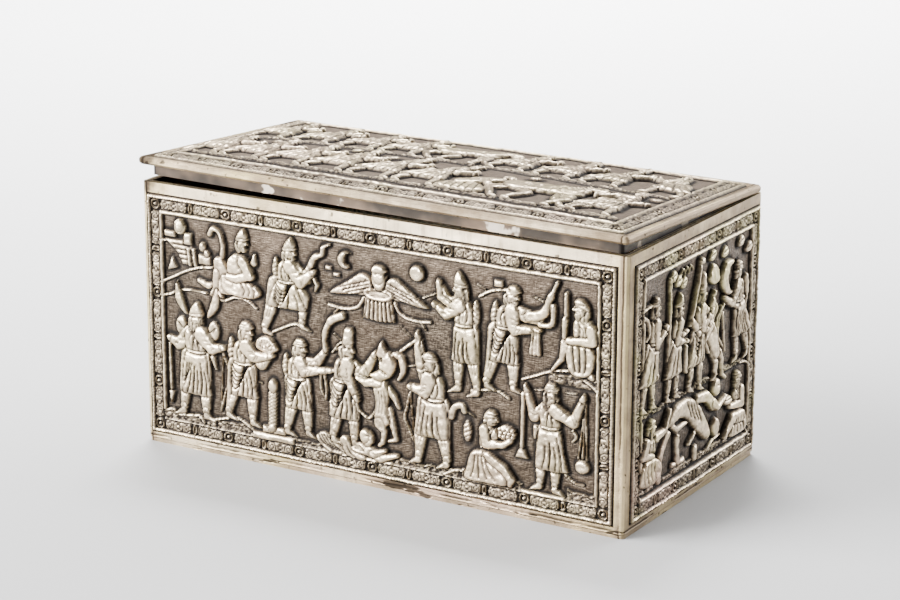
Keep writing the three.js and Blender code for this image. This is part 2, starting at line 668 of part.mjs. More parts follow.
function lidRim() {
  const opening = [lidLength - 2 * RIM_WIDTH, lidDepth - 2 * RIM_WIDTH];
  const ledgeOpening = opening.map((size) => size - 2 * LEDGE_WIDTH);
  const ring = plate(lidLength, lidDepth, CORNER_RADIUS, 0, RIM_THICKNESS, opening, RIM_EDGE_ROUND);
  const ledge = plate(lidLength - RIM_WIDTH, lidDepth - RIM_WIDTH, CORNER_RADIUS, 0,
    LEDGE_THICKNESS, ledgeOpening);
  return piece("lid_rim", onRim(geometryOf(ring.add(ledge))), silver("#d5cdb9", 0.25));
}

function lidFlange() {
  const opening = [flangeLength - 2 * FLANGE_THICKNESS, flangeDepth - 2 * FLANGE_THICKNESS];
  const strip = plate(flangeLength, flangeDepth, CORNER_RADIUS, -SEAM - FLANGE_HEIGHT, -SEAM,
    opening);
  return piece("lid_flange", onRim(geometryOf(strip)), silver("#5b4a3c", 0.6));
}

function lidPanel() {
  const halfLength = lidLength / 2 - RIM_WIDTH - SEAM;
  const halfDepth = lidDepth / 2 - RIM_WIDTH - SEAM;
  const seat = LEDGE_THICKNESS + SEAM + SHEET;
  const slope = OUTER_FILLET_IN + BAND_WIDTH + 3 * FILLET_HALF_WIDTH;
  const [middleU, middleV] = [lidLength / 2, lidDepth / 2];
  const ground = (u, v) => {
    const [x, y] = [Math.abs(u - middleU), Math.abs(v - middleV)];
    const inward = Math.min(halfLength - x, halfDepth - y);
    const bulge = (1 - (x / halfLength) ** 2) * (1 - (y / halfDepth) ** 2);
    return seat + BORDER_SLOPE_RISE * Math.min(Math.max(inward, 0) / slope, 1) + DOME_RISE * bulge;
  };
  const lines = (middle, half, cells) => {
    const field = half - slope;
    const inner = [...Array(cells + 1).keys()].map((i) => middle - field + (2 * field * i) / cells);
    return [middle - half, ...inner, middle + half];
  };
  const us = lines(middleU, halfLength, 4);
  const vs = lines(middleV, halfDepth, 3);
  const body = embossed([lidLength, lidDepth], LID_DRAWING, us, vs, ground, lidScene, true);
  const geometry = geometryOf(body).translate(-middleU, -middleV, 0);
  return piece("lid_panel", onRim(geometry), silver("#d8d2c4", 0.35));
}

const body = new THREE.Group();
body.add(caseWalls(), basePlate(), ...SIDES.map(sidePanel));

const lid = new THREE.Group();
lid.add(lidRim(), lidPanel(), lidFlange());

const casket = new THREE.Group();
casket.add(body, lid);

export default casket;
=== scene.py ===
# %% [markdown]
# # A silver casket with embossed sides
# The real casket is a box of silver sheet. Its frame strips are plain and rubbed bright, and each side
# and the lid hold an embossed panel, dark in the hollows. The construction is loaded as it stands, and
# this lesson gives it the chased relief and the old silver finish.

# %% Load the construction
import math

import bpy
import numpy as np
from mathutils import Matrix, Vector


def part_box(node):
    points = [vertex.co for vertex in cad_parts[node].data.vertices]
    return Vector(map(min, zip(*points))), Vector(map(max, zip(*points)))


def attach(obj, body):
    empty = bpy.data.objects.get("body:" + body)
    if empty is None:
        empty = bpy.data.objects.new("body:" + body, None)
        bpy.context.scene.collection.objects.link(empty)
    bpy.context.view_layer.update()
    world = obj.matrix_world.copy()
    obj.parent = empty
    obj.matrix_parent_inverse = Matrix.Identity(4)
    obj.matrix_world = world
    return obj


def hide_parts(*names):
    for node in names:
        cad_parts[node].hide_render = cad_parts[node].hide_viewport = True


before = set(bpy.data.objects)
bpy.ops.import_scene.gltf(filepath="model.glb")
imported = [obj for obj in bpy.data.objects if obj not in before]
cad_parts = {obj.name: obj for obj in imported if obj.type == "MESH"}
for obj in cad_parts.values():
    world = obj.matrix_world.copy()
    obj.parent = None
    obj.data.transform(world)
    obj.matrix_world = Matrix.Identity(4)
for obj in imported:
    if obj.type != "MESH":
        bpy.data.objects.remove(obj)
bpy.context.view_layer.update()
MM = 0.001
print("nodes:", sorted(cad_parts))

# %% [markdown]
# ## The camera
# The photograph looks down a little on the front and the right end. A long lens a metre away gives the
# same slight narrowing towards the back.

# %% Camera
AZIMUTH = math.radians(30.75)
ELEVATION = math.radians(16.35)
ROLL = math.radians(0.25)
DISTANCE = 1.055
LOOK_AT = (0.0, 0.0, 0.057)
LENS = 115.0

camera = bpy.data.objects.new("camera", bpy.data.cameras.new("camera"))
bpy.context.scene.collection.objects.link(camera)
camera.data.lens = LENS
camera.data.sensor_width = 36.0
camera.data.clip_start = 0.05
back = (
    math.sin(AZIMUTH) * math.cos(ELEVATION),
    -math.cos(AZIMUTH) * math.cos(ELEVATION),
    math.sin(ELEVATION),
)
camera.location = [LOOK_AT[i] + DISTANCE * back[i] for i in range(3)]
camera.rotation_mode = "XYZ"
camera.rotation_euler = (math.pi / 2 - ELEVATION, 0.0, AZIMUTH)
camera.rotation_euler.rotate_axis("Z", ROLL)
bpy.context.scene.camera = camera
print("camera at", [round(c, 3) for c in camera.location])

# %% [markdown]
# ## Shader maths written as Python
# `Value` wraps a socket, so that `1 - mask` or `a * b` adds its Math node by itself, and `Shader` builds
# one material's nodes.

# %% A socket that can be added and multiplied
class Value:
    """An output socket of a shader, with the usual operators."""

    def __init__(self, tree, socket):
        self.tree = tree
        self.socket = socket

    def maths(self, operation, *others, clamp=False):
        values = [self] + list(others)
        return self.tree.node(
            "ShaderNodeMath", {"operation": operation, "use_clamp": clamp}, dict(enumerate(values))
        )

    def __add__(self, other):
        return self.maths("ADD", other)

    def __radd__(self, other):
        return self.maths("ADD", other)

    def __mul__(self, other):
        return self.maths("MULTIPLY", other)

    def __sub__(self, other):
        return self.maths("SUBTRACT", other)

    def __rsub__(self, other):
        return (self * -1.0) + other

    def clamped(self):
        return self.maths("ADD", 0.0, clamp=True)

    def ramp(self, low, high):
        """0 below low, 1 above high, smooth between."""
        return self.tree.node(
            "ShaderNodeMapRange",
            {"interpolation_type": "SMOOTHSTEP"},
            {"Value": self, "From Min": low, "From Max": high},
        )


# %% A material's nodes
class Shader:
    """A material's node tree."""

    def __init__(self, name):
        self.material = bpy.data.materials.new(name)
        self.material.use_nodes = True
        self.nodes = self.material.node_tree.nodes
        self.links = self.material.node_tree.links
        self.nodes.clear()

    def plug(self, node, values):
        for key, value in values.items():
            if isinstance(value, Value):
                self.links.new(value.socket, node.inputs[key])
            else:
                node.inputs[key].default_value = value

    def node(self, kind, settings=None, values=None, out=0):
        node = self.nodes.new(kind)
        for key, value in (settings or {}).items():
            setattr(node, key, value)
        self.plug(node, values or {})
        return Value(self, node.outputs[out])

    def place(self, scale=(1.0, 1.0, 1.0)):
        """Object coordinates, stretched."""
        where = self.node("ShaderNodeTexCoord", out="Object")
        return self.node("ShaderNodeMapping", {}, {"Vector": where, "Scale": scale})

    def axis(self, index):
        """The object's own coordinate, in metres: 0 along the length, 1 across, 2 up."""
        return self.node("ShaderNodeSeparateXYZ", {}, {"Vector": self.place()}, index)

    def noise(self, scale, detail=3.0, stretch=(1.0, 1.0, 1.0), roughness=0.5):
        return self.node(
            "ShaderNodeTexNoise",
            {},
            {"Vector": self.place(stretch), "Scale": scale, "Detail": detail, "Roughness": roughness},
        )

    def attribute(self, name):
        return self.node("ShaderNodeAttribute", {"attribute_name": name}, out="Fac")

    def mix(self, factor, first, second):
        """A blend of two colours."""
        node = self.nodes.new("ShaderNodeMix")
        node.data_type = "RGBA"
        colours = [c if isinstance(c, Value) else (*c, 1.0) for c in (first, second)]
        self.plug(node, {0: factor, 6: colours[0], 7: colours[1]})
        return Value(self, node.outputs[2])

    def bump(self, height, distance, strength):
        values = {"Height": height, "Distance": distance, "Strength": strength}
        return self.node("ShaderNodeBump", {}, values)

    def finish(self, values):
        node = self.nodes.new("ShaderNodeBsdfPrincipled")
        self.plug(node, values)
        output = self.nodes.new("ShaderNodeOutputMaterial")
        self.links.new(node.outputs[0], output.inputs[0])
        return self.material


print("shader steps:", [name for name in vars(Shader) if not name.startswith("_")])

# %% [markdown]
# ## Old silver
# Raised metal is rubbed pale and bright, the ground between the figures has gone brown-grey, and black
# tarnish, deepened by painted shade, lies along every chased outline. Each embossed sheet carries three
# values at its points: `tarnish`, how black it is from tarnish and painted shade, `raised`, how
# far it stands above the ground, and `polish`, how much it has been rubbed, less painted shade on
# steep flanks. The plain strips have yellow and coppery tints, and dark cracks at their joints. The pairs of
# metres say between which two places a stain or a painted shade comes on, along the length or upwards.

# %% Colours of old silver
BRIGHT = (0.95, 0.775, 0.53)
PATINA = (0.12, 0.088, 0.058)
GROUND = (0.026, 0.020, 0.0145)
GROUND_PALE = (0.092, 0.071, 0.051)
GROUND_BROWN = (0.075, 0.052, 0.036)
# Paler ground higher up: rubbed patina on the sides, and a painted reflection over the whole lid.
GROUND_WORN_AND_SHEEN = (0.16, 0.118, 0.086)
OLIVE = (0.66, 0.60, 0.28)
PINK = (0.70, 0.46, 0.36)
BLACK = (0.012, 0.009, 0.007)
STRIP_BRIGHT = (0.93, 0.77, 0.54)
STRIP_YELLOW = (0.70, 0.56, 0.26)
STRIP_PINK = (0.62, 0.42, 0.33)
POST_YELLOW = (0.60, 0.49, 0.25)
STREAK = (0.33, 0.25, 0.17)
STRIP_DULL = (0.22, 0.165, 0.105)
CRACK = (0.03, 0.022, 0.015)
TARNISH_DARK = (0.026, 0.02, 0.015)
TARNISH_BROWN = (0.105, 0.073, 0.05)
WORN_SPOT = (0.66, 0.57, 0.46)

CORNER_SEAM = 0.0981
FOOT_JOINT = 0.0026
BROWN_FROM = (0.0962, 0.0972)
BROWN_TO = (0.0978, 0.0986)
# Painted shade on the case's end faces.
SHADED_END_FACE = (0.0997, 0.0999)
CRACKED = (0.006, 0.009)
# Darker towards the foot of the case.
FOOT_DARKENING = (0.0012, 0.0042)
POST = (0.088, 0.096)
SMOKED_END = (0.08, 0.1)
SMOKED_TOP = (0.0945, 0.0975)
# Painted shade at the ends of the strip under the lid.
SHADED_STRIP_END = (0.0945, 0.0955)
UPPER_GROUND_WEAR_AND_SHEEN = (0.066, 0.096)
print("colours run from", BRIGHT, "to", BLACK)


# %% Embossed silver
def embossed_silver(name, hatch, cross, dull=0.0, deep=0.0, tint=0.15):
    """Chased silver. Hatch and cross stretch the ground's strokes, dull and deep darken the crests and the
    ground, and tint is the share of olive and pink patches."""
    s = Shader(name)
    tarnish = s.attribute("tarnish")
    raised = s.attribute("raised")
    polish = s.attribute("polish")
    cloud = s.noise(30.0, 3.0)
    fine = s.noise(900.0, 2.0)
    mottle = s.noise(420.0, 3.0, roughness=0.65)
    strokes = s.noise(2300.0, 0.0, hatch)
    crossing = s.noise(2300.0, 0.0, cross)
    chased = strokes * 0.55 + crossing * 0.45
    # The polish value is lowered on steep flanks as painted shade, so this brightness is wear and painted
    # shade together.
    rubbed_and_shaded = (polish - dull + (mottle - 0.5) * 1.6 + (cloud - 0.5) * 0.6).clamped()
    metal = s.mix(rubbed_and_shaded, PATINA, BRIGHT)
    metal = s.mix(s.noise(38.0, 2.0).ramp(0.5, 0.62) * tint, metal, OLIVE)
    metal = s.mix(s.noise(27.0, 2.0).ramp(0.52, 0.64) * tint, metal, PINK)
    ground = s.mix((chased * 0.6 + mottle * 0.4).ramp(0.4, 0.62), GROUND, GROUND_PALE)
    ground = s.mix(cloud.ramp(0.35, 0.7) * 0.35, ground, GROUND_BROWN)
    # Paler ground higher up: rubbed patina on the sides, and on the lid, which lies wholly above it, a
    # painted reflection.
    ground = s.mix((s.axis(2) + (cloud - 0.5) * 0.03).ramp(*UPPER_GROUND_WEAR_AND_SHEEN) * 0.35, ground, GROUND_WORN_AND_SHEEN)
    base = s.mix(raised, ground, metal)
    hollow = 1 - raised
    # Black from tarnish, from the painted halo and hollow shade carried in the tarnish value, and from the
    # deep ground.
    grime_and_shade = (tarnish + hollow * deep + (fine - 0.5) * 0.25).clamped()
    colour = s.mix(grime_and_shade, base, BLACK)
    height = chased * hollow * 0.7 + fine * 0.25 + mottle * (0.55 + hollow * 0.35)
    return s.finish(
        {
            "Base Color": colour,
            "Metallic": (1.0 - grime_and_shade * 0.2 - hollow * 0.05).clamped(),
            "Roughness": (0.38 - rubbed_and_shaded * 0.10 + grime_and_shade * 0.3 + hollow * 0.12).clamped(),
            "Normal": s.bump(height, 0.0004, 0.8),
        }
    )


# %% Plain strips
def plain_silver(name, dull=0.0):
    """Plain strips, worn bright, with scratches, warm tints, dark specks and cracked joints; darker towards
    the foot, and dulled on the end faces as painted shade.
    """
    s = Shader(name)
    cloud = s.noise(16.0, 4.0)
    dents = s.noise(55.0, 2.0)
    scratch = s.noise(60.0, 3.0, (30.0, 1.0, 30.0), 0.7)
    streak = s.noise(320.0, 3.0, (1.0, 1.0, 0.16), 0.6)
    blotch = s.noise(38.0, 5.0, roughness=0.65)
    wobble = s.noise(70.0, 4.0, roughness=0.7) - 0.5
    speck = s.noise(420.0, 1.0)
    along = s.axis(0)
    up = s.axis(2)
    reach = along.maths("ABSOLUTE")
    brown = reach.ramp(*BROWN_FROM) - (reach + wobble * 0.001).ramp(*BROWN_TO)
    # Painted shade: the end faces of the case are dulled, as if turned away from the light.
    end = reach.ramp(*SHADED_END_FACE)
    crack = s.noise(120.0, 3.0, (0.45, 0.45, 2.2), 0.6).ramp(0.6, 0.64) * (1 - up.ramp(*CRACKED))
    seam = 1 - (reach - CORNER_SEAM + wobble * 0.0016).maths("ABSOLUTE").ramp(0.0001, 0.0006)
    # Darker towards the foot of the case.
    foot = 1 - (up + wobble * 0.004).ramp(*FOOT_DARKENING)
    metal = s.mix(cloud.ramp(0.4, 0.62), STRIP_BRIGHT, STRIP_YELLOW)
    metal = s.mix(s.noise(11.0, 2.0).ramp(0.48, 0.66) * 0.75, metal, STRIP_PINK)
    post = (reach + wobble * 0.004).ramp(*POST)
    metal = s.mix(post * 0.65, metal, POST_YELLOW)
    metal = s.mix(streak.ramp(0.5, 0.7) * 0.6, metal, STREAK)
    tarnished = (end * 0.55 + brown * 0.7 + foot * 0.45 + dull + (blotch - 0.5) * 2.8).clamped()
    metal = s.mix(tarnished, metal, STRIP_DULL)
    joint = 1 - (up - FOOT_JOINT + wobble * 0.0014).maths("ABSOLUTE").ramp(0.0001, 0.0007)
    split = seam * blotch.ramp(0.4, 0.55) * 0.85 + joint * blotch.ramp(0.42, 0.56) * 0.9 + crack * 0.9
    smoked = (0 - along).ramp(*SMOKED_END) * up.ramp(*SMOKED_TOP) * blotch.ramp(0.42, 0.58) * 0.8
    dark = (speck.ramp(0.66, 0.76) * 0.8 + scratch.ramp(0.6, 0.75) * 0.3 + split + smoked).clamped()
    height = dents * 1.6 + scratch * 0.15 + streak * 0.3 - split * 0.3
    return s.finish(
        {
            "Base Color": s.mix(dark, metal, CRACK),
            "Metallic": 1.0,
            "Roughness": (0.24 + cloud * 0.2 + tarnished * 0.15 + dark * 0.3).clamped(),
            "Normal": s.bump(height, 0.0012, 0.6),
        }
    )


# %% The dark strip under the lid
def tarnished_silver(name):
    """Brown-black strip with worn bright spots, turned black towards its ends as painted shade."""
    s = Shader(name)
    spots = s.noise(90.0, 3.0)
    cloud = s.noise(45.0, 3.0)
    # Painted shade: the strip's ends, in the shadow of the lid, are painted black.
    end = s.axis(0).maths("ABSOLUTE").ramp(*SHADED_STRIP_END)
    base = s.mix(cloud.ramp(0.4, 0.6), TARNISH_DARK, TARNISH_BROWN)
    base = s.mix(end, base, BLACK)
    worn = spots.ramp(0.62, 0.655) * (1 - end * 0.8)
    return s.finish(
        {
            "Base Color": s.mix(worn, base, WORN_SPOT),
            "Metallic": (0.7 + worn * 0.3).clamped(),
            "Roughness": (0.5 - worn * 0.2).clamped(),
            "Normal": s.bump(spots + cloud, 0.0008, 0.5),
        }
    )


# %% All finishes
finishes = {
    "plain": plain_silver("plain_silver", 0.2),
    "rim": plain_silver("plain_silver_rim", 0.75),
    "base": plain_silver("plain_silver_base", 0.3),
    "tarnished": tarnished_silver("tarnished_silver"),
    "side": embossed_silver("chased_silver_side", (0.2, 0.2, 1.0), (1.0, 1.0, 0.2)),
    # The end panels are duller than the front, as painted shade, and carry more olive and pink tint.
    "end": embossed_silver("chased_silver_end_shaded", (0.2, 0.2, 1.0), (1.0, 1.0, 0.2), 0.1, tint=0.5),
    "lid": embossed_silver("chased_silver_lid", (0.2, 1.0, 1.0), (1.0, 0.2, 1.0), 0.1, 0.24),
}
print("finishes:", list(finishes))

# %% [markdown]
# ## A sheet that can be chased
# A silversmith raises a form from behind and then sinks a line round it from the front. `Sheet` does the
# same on a grid of heights: `form` raises an outline with a rounded edge and a sunk line round it, and
# `line` engraves a stroke. Every form is worked from its distance to an outline, in millimetres.

# %% Distances and curves
def distance_to_path(points, radii, u, v):
    """Distance from each place to a tapered stroke, less its half width."""
    best = np.full(u.shape, 1e9)
    for (a, b), (ra, rb) in zip(zip(points[:-1], points[1:]), zip(radii[:-1], radii[1:])):
        du, dv = b[0] - a[0], b[1] - a[1]
        along = ((u - a[0]) * du + (v - a[1]) * dv) / max(du * du + dv * dv, 1e-9)
        along = np.clip(along, 0.0, 1.0)
        away = np.hypot(u - a[0] - along * du, v - a[1] - along * dv)
        best = np.minimum(best, away - (ra + along * (rb - ra)))
    return best


def distance_to_outline(points, u, v):
    """Distance from each place to a closed outline, below zero inside it."""
    best = np.full(u.shape, 1e9)
    inside = np.zeros(u.shape, bool)
    for (au, av), (bu, bv) in zip(points, points[1:] + points[:1]):
        du, dv = bu - au, bv - av
        along = np.clip(((u - au) * du + (v - av) * dv) / max(du * du + dv * dv, 1e-9), 0.0, 1.0)
        best = np.minimum(best, np.hypot(u - au - along * du, v - av - along * dv))
        crosses = (av > v) != (bv > v)
        if bv != av:
            inside ^= crosses & (u < au + (v - av) / (bv - av) * du)
    return np.where(inside, -best, best)


def smooth(points, closed=False, steps=5):
    """A flowing curve through the points."""
    count = len(points)
    spans = count if closed else count - 1
    curve = []
    for i in range(spans):
        index = [i - 1, i, i + 1, i + 2]
        if closed:
            p = [points[j % count] for j in index]
        else:
            p = [points[min(max(j, 0), count - 1)] for j in index]
        for step in range(steps):
            t = step / steps
            weights = (
                -0.5 * t + t * t - 0.5 * t**3,
                1 - 2.5 * t * t + 1.5 * t**3,
                0.5 * t + 2 * t * t - 1.5 * t**3,
                -0.5 * t * t + 0.5 * t**3,
            )
            curve.append(tuple(sum(w * q[axis] for w, q in zip(weights, p)) for axis in (0, 1)))
    if not closed:
        curve.append(tuple(points[-1]))
    return curve


print("a curve through 4 places has", len(smooth([(0, 0), (1, 0), (1, 1), (0, 1)])), "points")


# %% The chased sheet
class Sheet:
    """Heights and darkness, from patina and painted shade, of one sheet over a grid, in millimetres from its
    drawing's lower left corner.
    """

    def __init__(self, left, right, low, high, pitch):
        self.edges = (left, right, low, high)
        self.columns = round((right - left) / pitch)
        self.rows = round((high - low) / pitch)
        self.us = np.linspace(left, right, self.columns + 1)
        self.vs = np.linspace(low, high, self.rows + 1)
        self.height = np.zeros((self.rows + 1, self.columns + 1))
        self.tarnish = np.zeros_like(self.height)

    def window(self, points, margin):
        """The part of the grid round some points, as an index and its places."""
        us = [p[0] for p in points]
        vs = [p[1] for p in points]
        i0, i1 = np.searchsorted(self.us, [min(us) - margin, max(us) + margin])
        j0, j1 = np.searchsorted(self.vs, [min(vs) - margin, max(vs) + margin])
        area = (slice(j0, j1), slice(i0, i1))
        u, v = np.meshgrid(self.us[i0:i1], self.vs[j0:j1])
        return area, u, v

    def press(self, area, away, relief, edge, gap=1.1, dark=1.0):
        """Raises what is inside the outline over what is there, and sinks a dark line round it, part patina
        and part painted shade.
        """
        if away.size == 0:
            return
        old = self.height[area]
        open_ground = 1.0 - np.clip(old / 0.5, 0.0, 1.0)
        foot = np.clip(0.82 * old, 0.25 * relief, relief - 0.1)
        depth = np.clip(-away / (0.85 * edge), 0.0, 1.0)
        swell = np.sqrt(1.0 - (1.0 - depth) ** 2.4)
        shape = foot + (relief - foot) * swell
        # Painted shade: the dark halo just outside each form, wider on open ground, and the dark line at its
        # edge stand in for shadow as well as the patina in the sunk line.
        near = np.exp(-((np.maximum(away, 0.0) / (gap * (0.45 + 0.55 * open_ground))) ** 2))
        sunk = old - near * (0.22 + 0.16 * (1.0 - open_ground))
        self.height[area] = np.where(away < 0, shape, sunk)
        rim = 0.5 * np.exp(-((away / 0.28) ** 2))
        shade = np.maximum(self.tarnish[area], dark * near * (0.62 + 0.38 * open_ground))
        self.tarnish[area] = np.where(away < 0, rim, shade)

    def limb(self, points, halves, relief, edge=1.3, **style):
        """A stroke along the points; halves is its half width, or one for each point."""
        if isinstance(halves, float):
            halves = [halves] * len(points)
        area, u, v = self.window(points, max(halves) + 3.0)
        self.press(area, distance_to_path(points, halves, u, v), relief, edge, **style)

    def form(self, points, relief, edge=1.3, closed_curve=True, **style):
        """A raised outline, flowing through its points or straight between them."""
        outline = smooth(points, closed=True, steps=4) if closed_curve else list(points)
        area, u, v = self.window(outline, 3.0)
        self.press(area, distance_to_outline(outline, u, v), relief, edge, **style)

    def oval(self, centre, half_u, half_v, relief, turn=0.0, edge=1.3, **style):
        area, u, v = self.window([centre], max(half_u, half_v) + 3.0)
        x, y = u - centre[0], v - centre[1]
        x, y = x * math.cos(turn) + y * math.sin(turn), y * math.cos(turn) - x * math.sin(turn)
        radius = np.hypot(x / half_u, y / half_v)
        away = (radius - 1.0) * min(half_u, half_v)
        self.press(area, away, relief, edge, **style)

    def line(self, points, half=0.28, depth=0.3, dark=0.75):
        """An engraved stroke, which leaves the height beside it as it was."""
        area, u, v = self.window(points, 3.0 * half + 0.6)
        if u.size == 0:
            return
        away = distance_to_path(points, [0.0] * len(points), u, v)
        cut = np.exp(-((away / (1.25 * half)) ** 2))
        self.height[area] -= 1.4 * depth * cut
        self.tarnish[area] = np.maximum(self.tarnish[area], min(1.8 * dark, 1.0) * cut)

    def curve(self, points, half=0.28, depth=0.3, dark=0.75):
        """An engraved stroke that flows through the points."""
        self.line(smooth(points), half, depth, dark)

    def folds(self, count, points, half, depth, dark=0.75):
        """Engraved folds side by side; each point has its place and its step to the next fold."""
        for i in range(count):
            self.curve([(u + step * i, v) for u, v, step in points], half, depth, dark)

    def ridge(self, points, half=0.4, relief=0.6, dark=0.6):
        """A thin raised line, such as a hill's edge or a scroll."""
        self.limb(points, half, relief, edge=half * 1.2, gap=0.45, dark=dark)

    def cord(self, points, half=0.4, relief=0.6, dark=0.6):
        """A thin raised line that flows through the points."""
        self.ridge(smooth(points), half, relief, dark)


print("strokes on a sheet:", [name for name in vars(Sheet) if not name.startswith("_")])

# %% [markdown]
# ## A man in a pleated coat
# All the men on the casket come from one pattern: boots, a pleated coat skirt with swags at the hip, a
# belted coat, wide sleeves, long hair, a beard and a tall cap. Toes and hands are given as places on the
# sheet, and elbows and knees are worked out. Faces stay simple: a brow, an eye, a nose and a beard of the
# pattern's own.

# %% Measures and hats
HIP = 0.53
TORSO = 0.24
HEAD = 0.325
ARM_BONE = 0.18
HEM = 0.25
TOE_TO_HEEL = 0.095


def bend(a, b, bone, side):
    """The joint between two equal bones from a to b."""
    reach = math.hypot(b[0] - a[0], b[1] - a[1])
    half = reach / 2
    bulge = math.sqrt(max(bone * bone - half * half, 0.0)) * side
    return (
        (a[0] + b[0]) / 2 - (b[1] - a[1]) / reach * bulge,
        (a[1] + b[1]) / 2 + (b[0] - a[0]) / reach * bulge,
    )


def between(a, b, share):
    return (a[0] + (b[0] - a[0]) * share, a[1] + (b[1] - a[1]) * share)


HATS = {
    "cap": [(-0.07, 0.015), (0.055, 0.025), (0.058, 0.06), (0.035, 0.12), (0.0, 0.145), (-0.04, 0.115),
            (-0.068, 0.06)],
    "band": [(-0.07, 0.02), (0.06, 0.03), (0.06, 0.06), (0.032, 0.088), (-0.01, 0.095), (-0.055, 0.08)],
    "crown": [(-0.055, 0.02), (0.045, 0.03), (0.045, 0.12), (0.04, 0.185), (-0.002, 0.19), (-0.038, 0.18),
              (-0.05, 0.1)],
    "hair": [(-0.072, -0.01), (0.045, 0.035), (0.045, 0.07), (0.0, 0.088), (-0.05, 0.078), (-0.082, 0.035)],
}


print("hats:", list(HATS))


# %% The pattern of a man
class Man:
    """One man on a sheet, whose measures are shares of the man's height."""

    def __init__(self, sheet, at, tall, faces=1, hip=HIP, lean=0.02, front=False, slim=1.0):
        self.sheet = sheet
        self.slim = slim
        self.at = at
        self.tall = tall
        self.faces = faces
        self.hip = hip
        self.lean = lean
        self.front = front

    def place(self, forward, up):
        return (self.at[0] + self.faces * forward * self.tall * self.slim, self.at[1] + up * self.tall)

    def upper(self, forward, up):
        """A place above the hips, carried forward by the lean."""
        return self.place(forward + self.lean * up / TORSO, self.hip + up)

    def uppers(self, shares):
        return [self.upper(*share) for share in shares]

    def legs(self, toes, knees=(None, None)):
        t = self.tall
        self.ankles = []
        for toe, knee in reversed(list(zip(toes, knees))):
            way = self.faces if not self.front else math.copysign(1, toe[0] - self.at[0])
            ankle = (toe[0] - way * TOE_TO_HEEL * t, toe[1] + 0.085 * t)
            root = (self.at[0] + (ankle[0] - self.at[0]) * 0.5, self.at[1] + self.hip * t)
            if knee is None:
                knee = between(root, ankle, 0.6)
                knee = (knee[0] + way * 0.012 * t, knee[1])
            w = t * self.slim
            self.sheet.limb([root, knee, ankle], [0.085 * w, 0.06 * w, 0.036 * w], 1.15, edge=1.9)
            heel = (ankle[0] + way * 0.004 * t, toe[1] + 0.042 * t)
            self.sheet.limb([ankle, heel], [0.034 * w, 0.03 * w], 1.12, gap=0.35, dark=0.4)
            self.sheet.limb([heel, toe], [0.031 * t, 0.005 * t], 1.05, gap=0.6)
            for share in (-0.012, 0.016):
                fold = [between(root, knee, 0.7), between(knee, ankle, 0.12), between(knee, ankle, 0.42)]
                self.sheet.curve([(p[0] + share * t, p[1]) for p in fold], 0.2, 0.16, 0.34)
            self.ankles.append(ankle)
        self.ankles.reverse()

    def skirt(self, hem=None, pleats=4, swags=True):
        """The coat's skirt; hem gives its rear end, its front end and its height."""
        t = self.tall
        us = sorted(ankle[0] for ankle in self.ankles)
        if hem is None:
            w = t * self.slim
            hem = (min(us[0] - 0.065 * w, self.at[0] - 0.12 * w),
                   max(us[-1] + 0.065 * w, self.at[0] + 0.12 * w), self.at[1] + HEM * t)
        hem_rear, hem_front = ((hem[0], hem[2]), (hem[1], hem[2]))
        if self.faces < 0:
            hem_rear, hem_front = hem_front, hem_rear
        waist_rear, waist_front = self.upper(-0.083, 0.05), self.upper(0.083, 0.05)
        middle = between(hem_rear, hem_front, 0.5)
        seat = between(waist_rear, hem_rear, 0.5)
        outline = [
            waist_front,
            between(waist_front, hem_front, 0.5),
            (hem_front[0], hem_front[1] + 0.02 * t),
            hem_front,
            (middle[0], middle[1] - 0.012 * t),
            hem_rear,
            (hem_rear[0], hem_rear[1] + 0.02 * t),
            (seat[0] - self.faces * 0.02 * t, seat[1]),
            waist_rear,
        ]
        self.sheet.form(outline, 1.4, edge=2.6)
        for i in range(pleats):
            share = (i + 0.6) / pleats
            foot = between(hem_rear, hem_front, 0.08 + 0.86 * share)
            top = between(waist_rear, waist_front, 0.3 + 0.6 * share)
            start = between(top, foot, 0.45 - 0.25 * share * (i % 2))
            half_way = between(start, foot, 0.5)
            sway = (half_way[0] + self.faces * 0.012 * t, half_way[1])
            self.sheet.curve([start, sway, between(start, foot, 0.96)], 0.26, 0.3, 0.55)
            if i % 2:
                beside = between(foot, middle, 0.22)
                self.sheet.curve([between(start, foot, 0.25), between(sway, beside, 0.4), beside],
                                 0.24, 0.24, 0.45)
        if swags:
            for i in range(5):
                arc = [(0.055 - 0.012 * i, 0.02 - 0.004 * i), (0.02 - 0.01 * i, -0.03 - 0.03 * i),
                       (-0.045 - 0.006 * i, -0.05 - 0.036 * i), (-0.115, 0.015 - 0.035 * i)]
                self.sheet.curve(self.uppers(arc), 0.3, 0.4, 0.62)

    def torso(self):
        body = [(-0.08, 0.03), (0.08, 0.03), (0.095, 0.13), (0.088, 0.2), (0.04, 0.25), (-0.04, 0.25),
                (-0.1, 0.205), (-0.104, 0.12)]
        self.sheet.form(self.uppers(body), 1.5, edge=2.8)
        self.sheet.curve(self.uppers([(0.045, 0.24), (0.02, 0.16), (0.03, 0.06)]), 0.26, 0.28, 0.55)
        if self.front:
            self.sheet.curve(self.uppers([(-0.045, 0.24), (-0.02, 0.16), (-0.03, 0.06)]), 0.26, 0.28, 0.55)
        else:
            self.sheet.curve(self.uppers([(-0.05, 0.19), (-0.055, 0.12), (-0.03, 0.06)]), 0.24, 0.2, 0.4)
        for i in range(3):
            rear = -0.075 + 0.045 * i
            fold = [(rear + 0.05, 0.2 - 0.02 * i), (rear + 0.015, 0.145), (rear + 0.03, 0.075)]
            self.sheet.curve(self.uppers(fold), 0.2, 0.2, 0.38)
        for up in (0.03, 0.058):
            belt = self.uppers([(-0.085, up), (0.0, up - 0.01), (0.085, up)])
            self.sheet.curve(belt, 0.24, 0.26, 0.6)

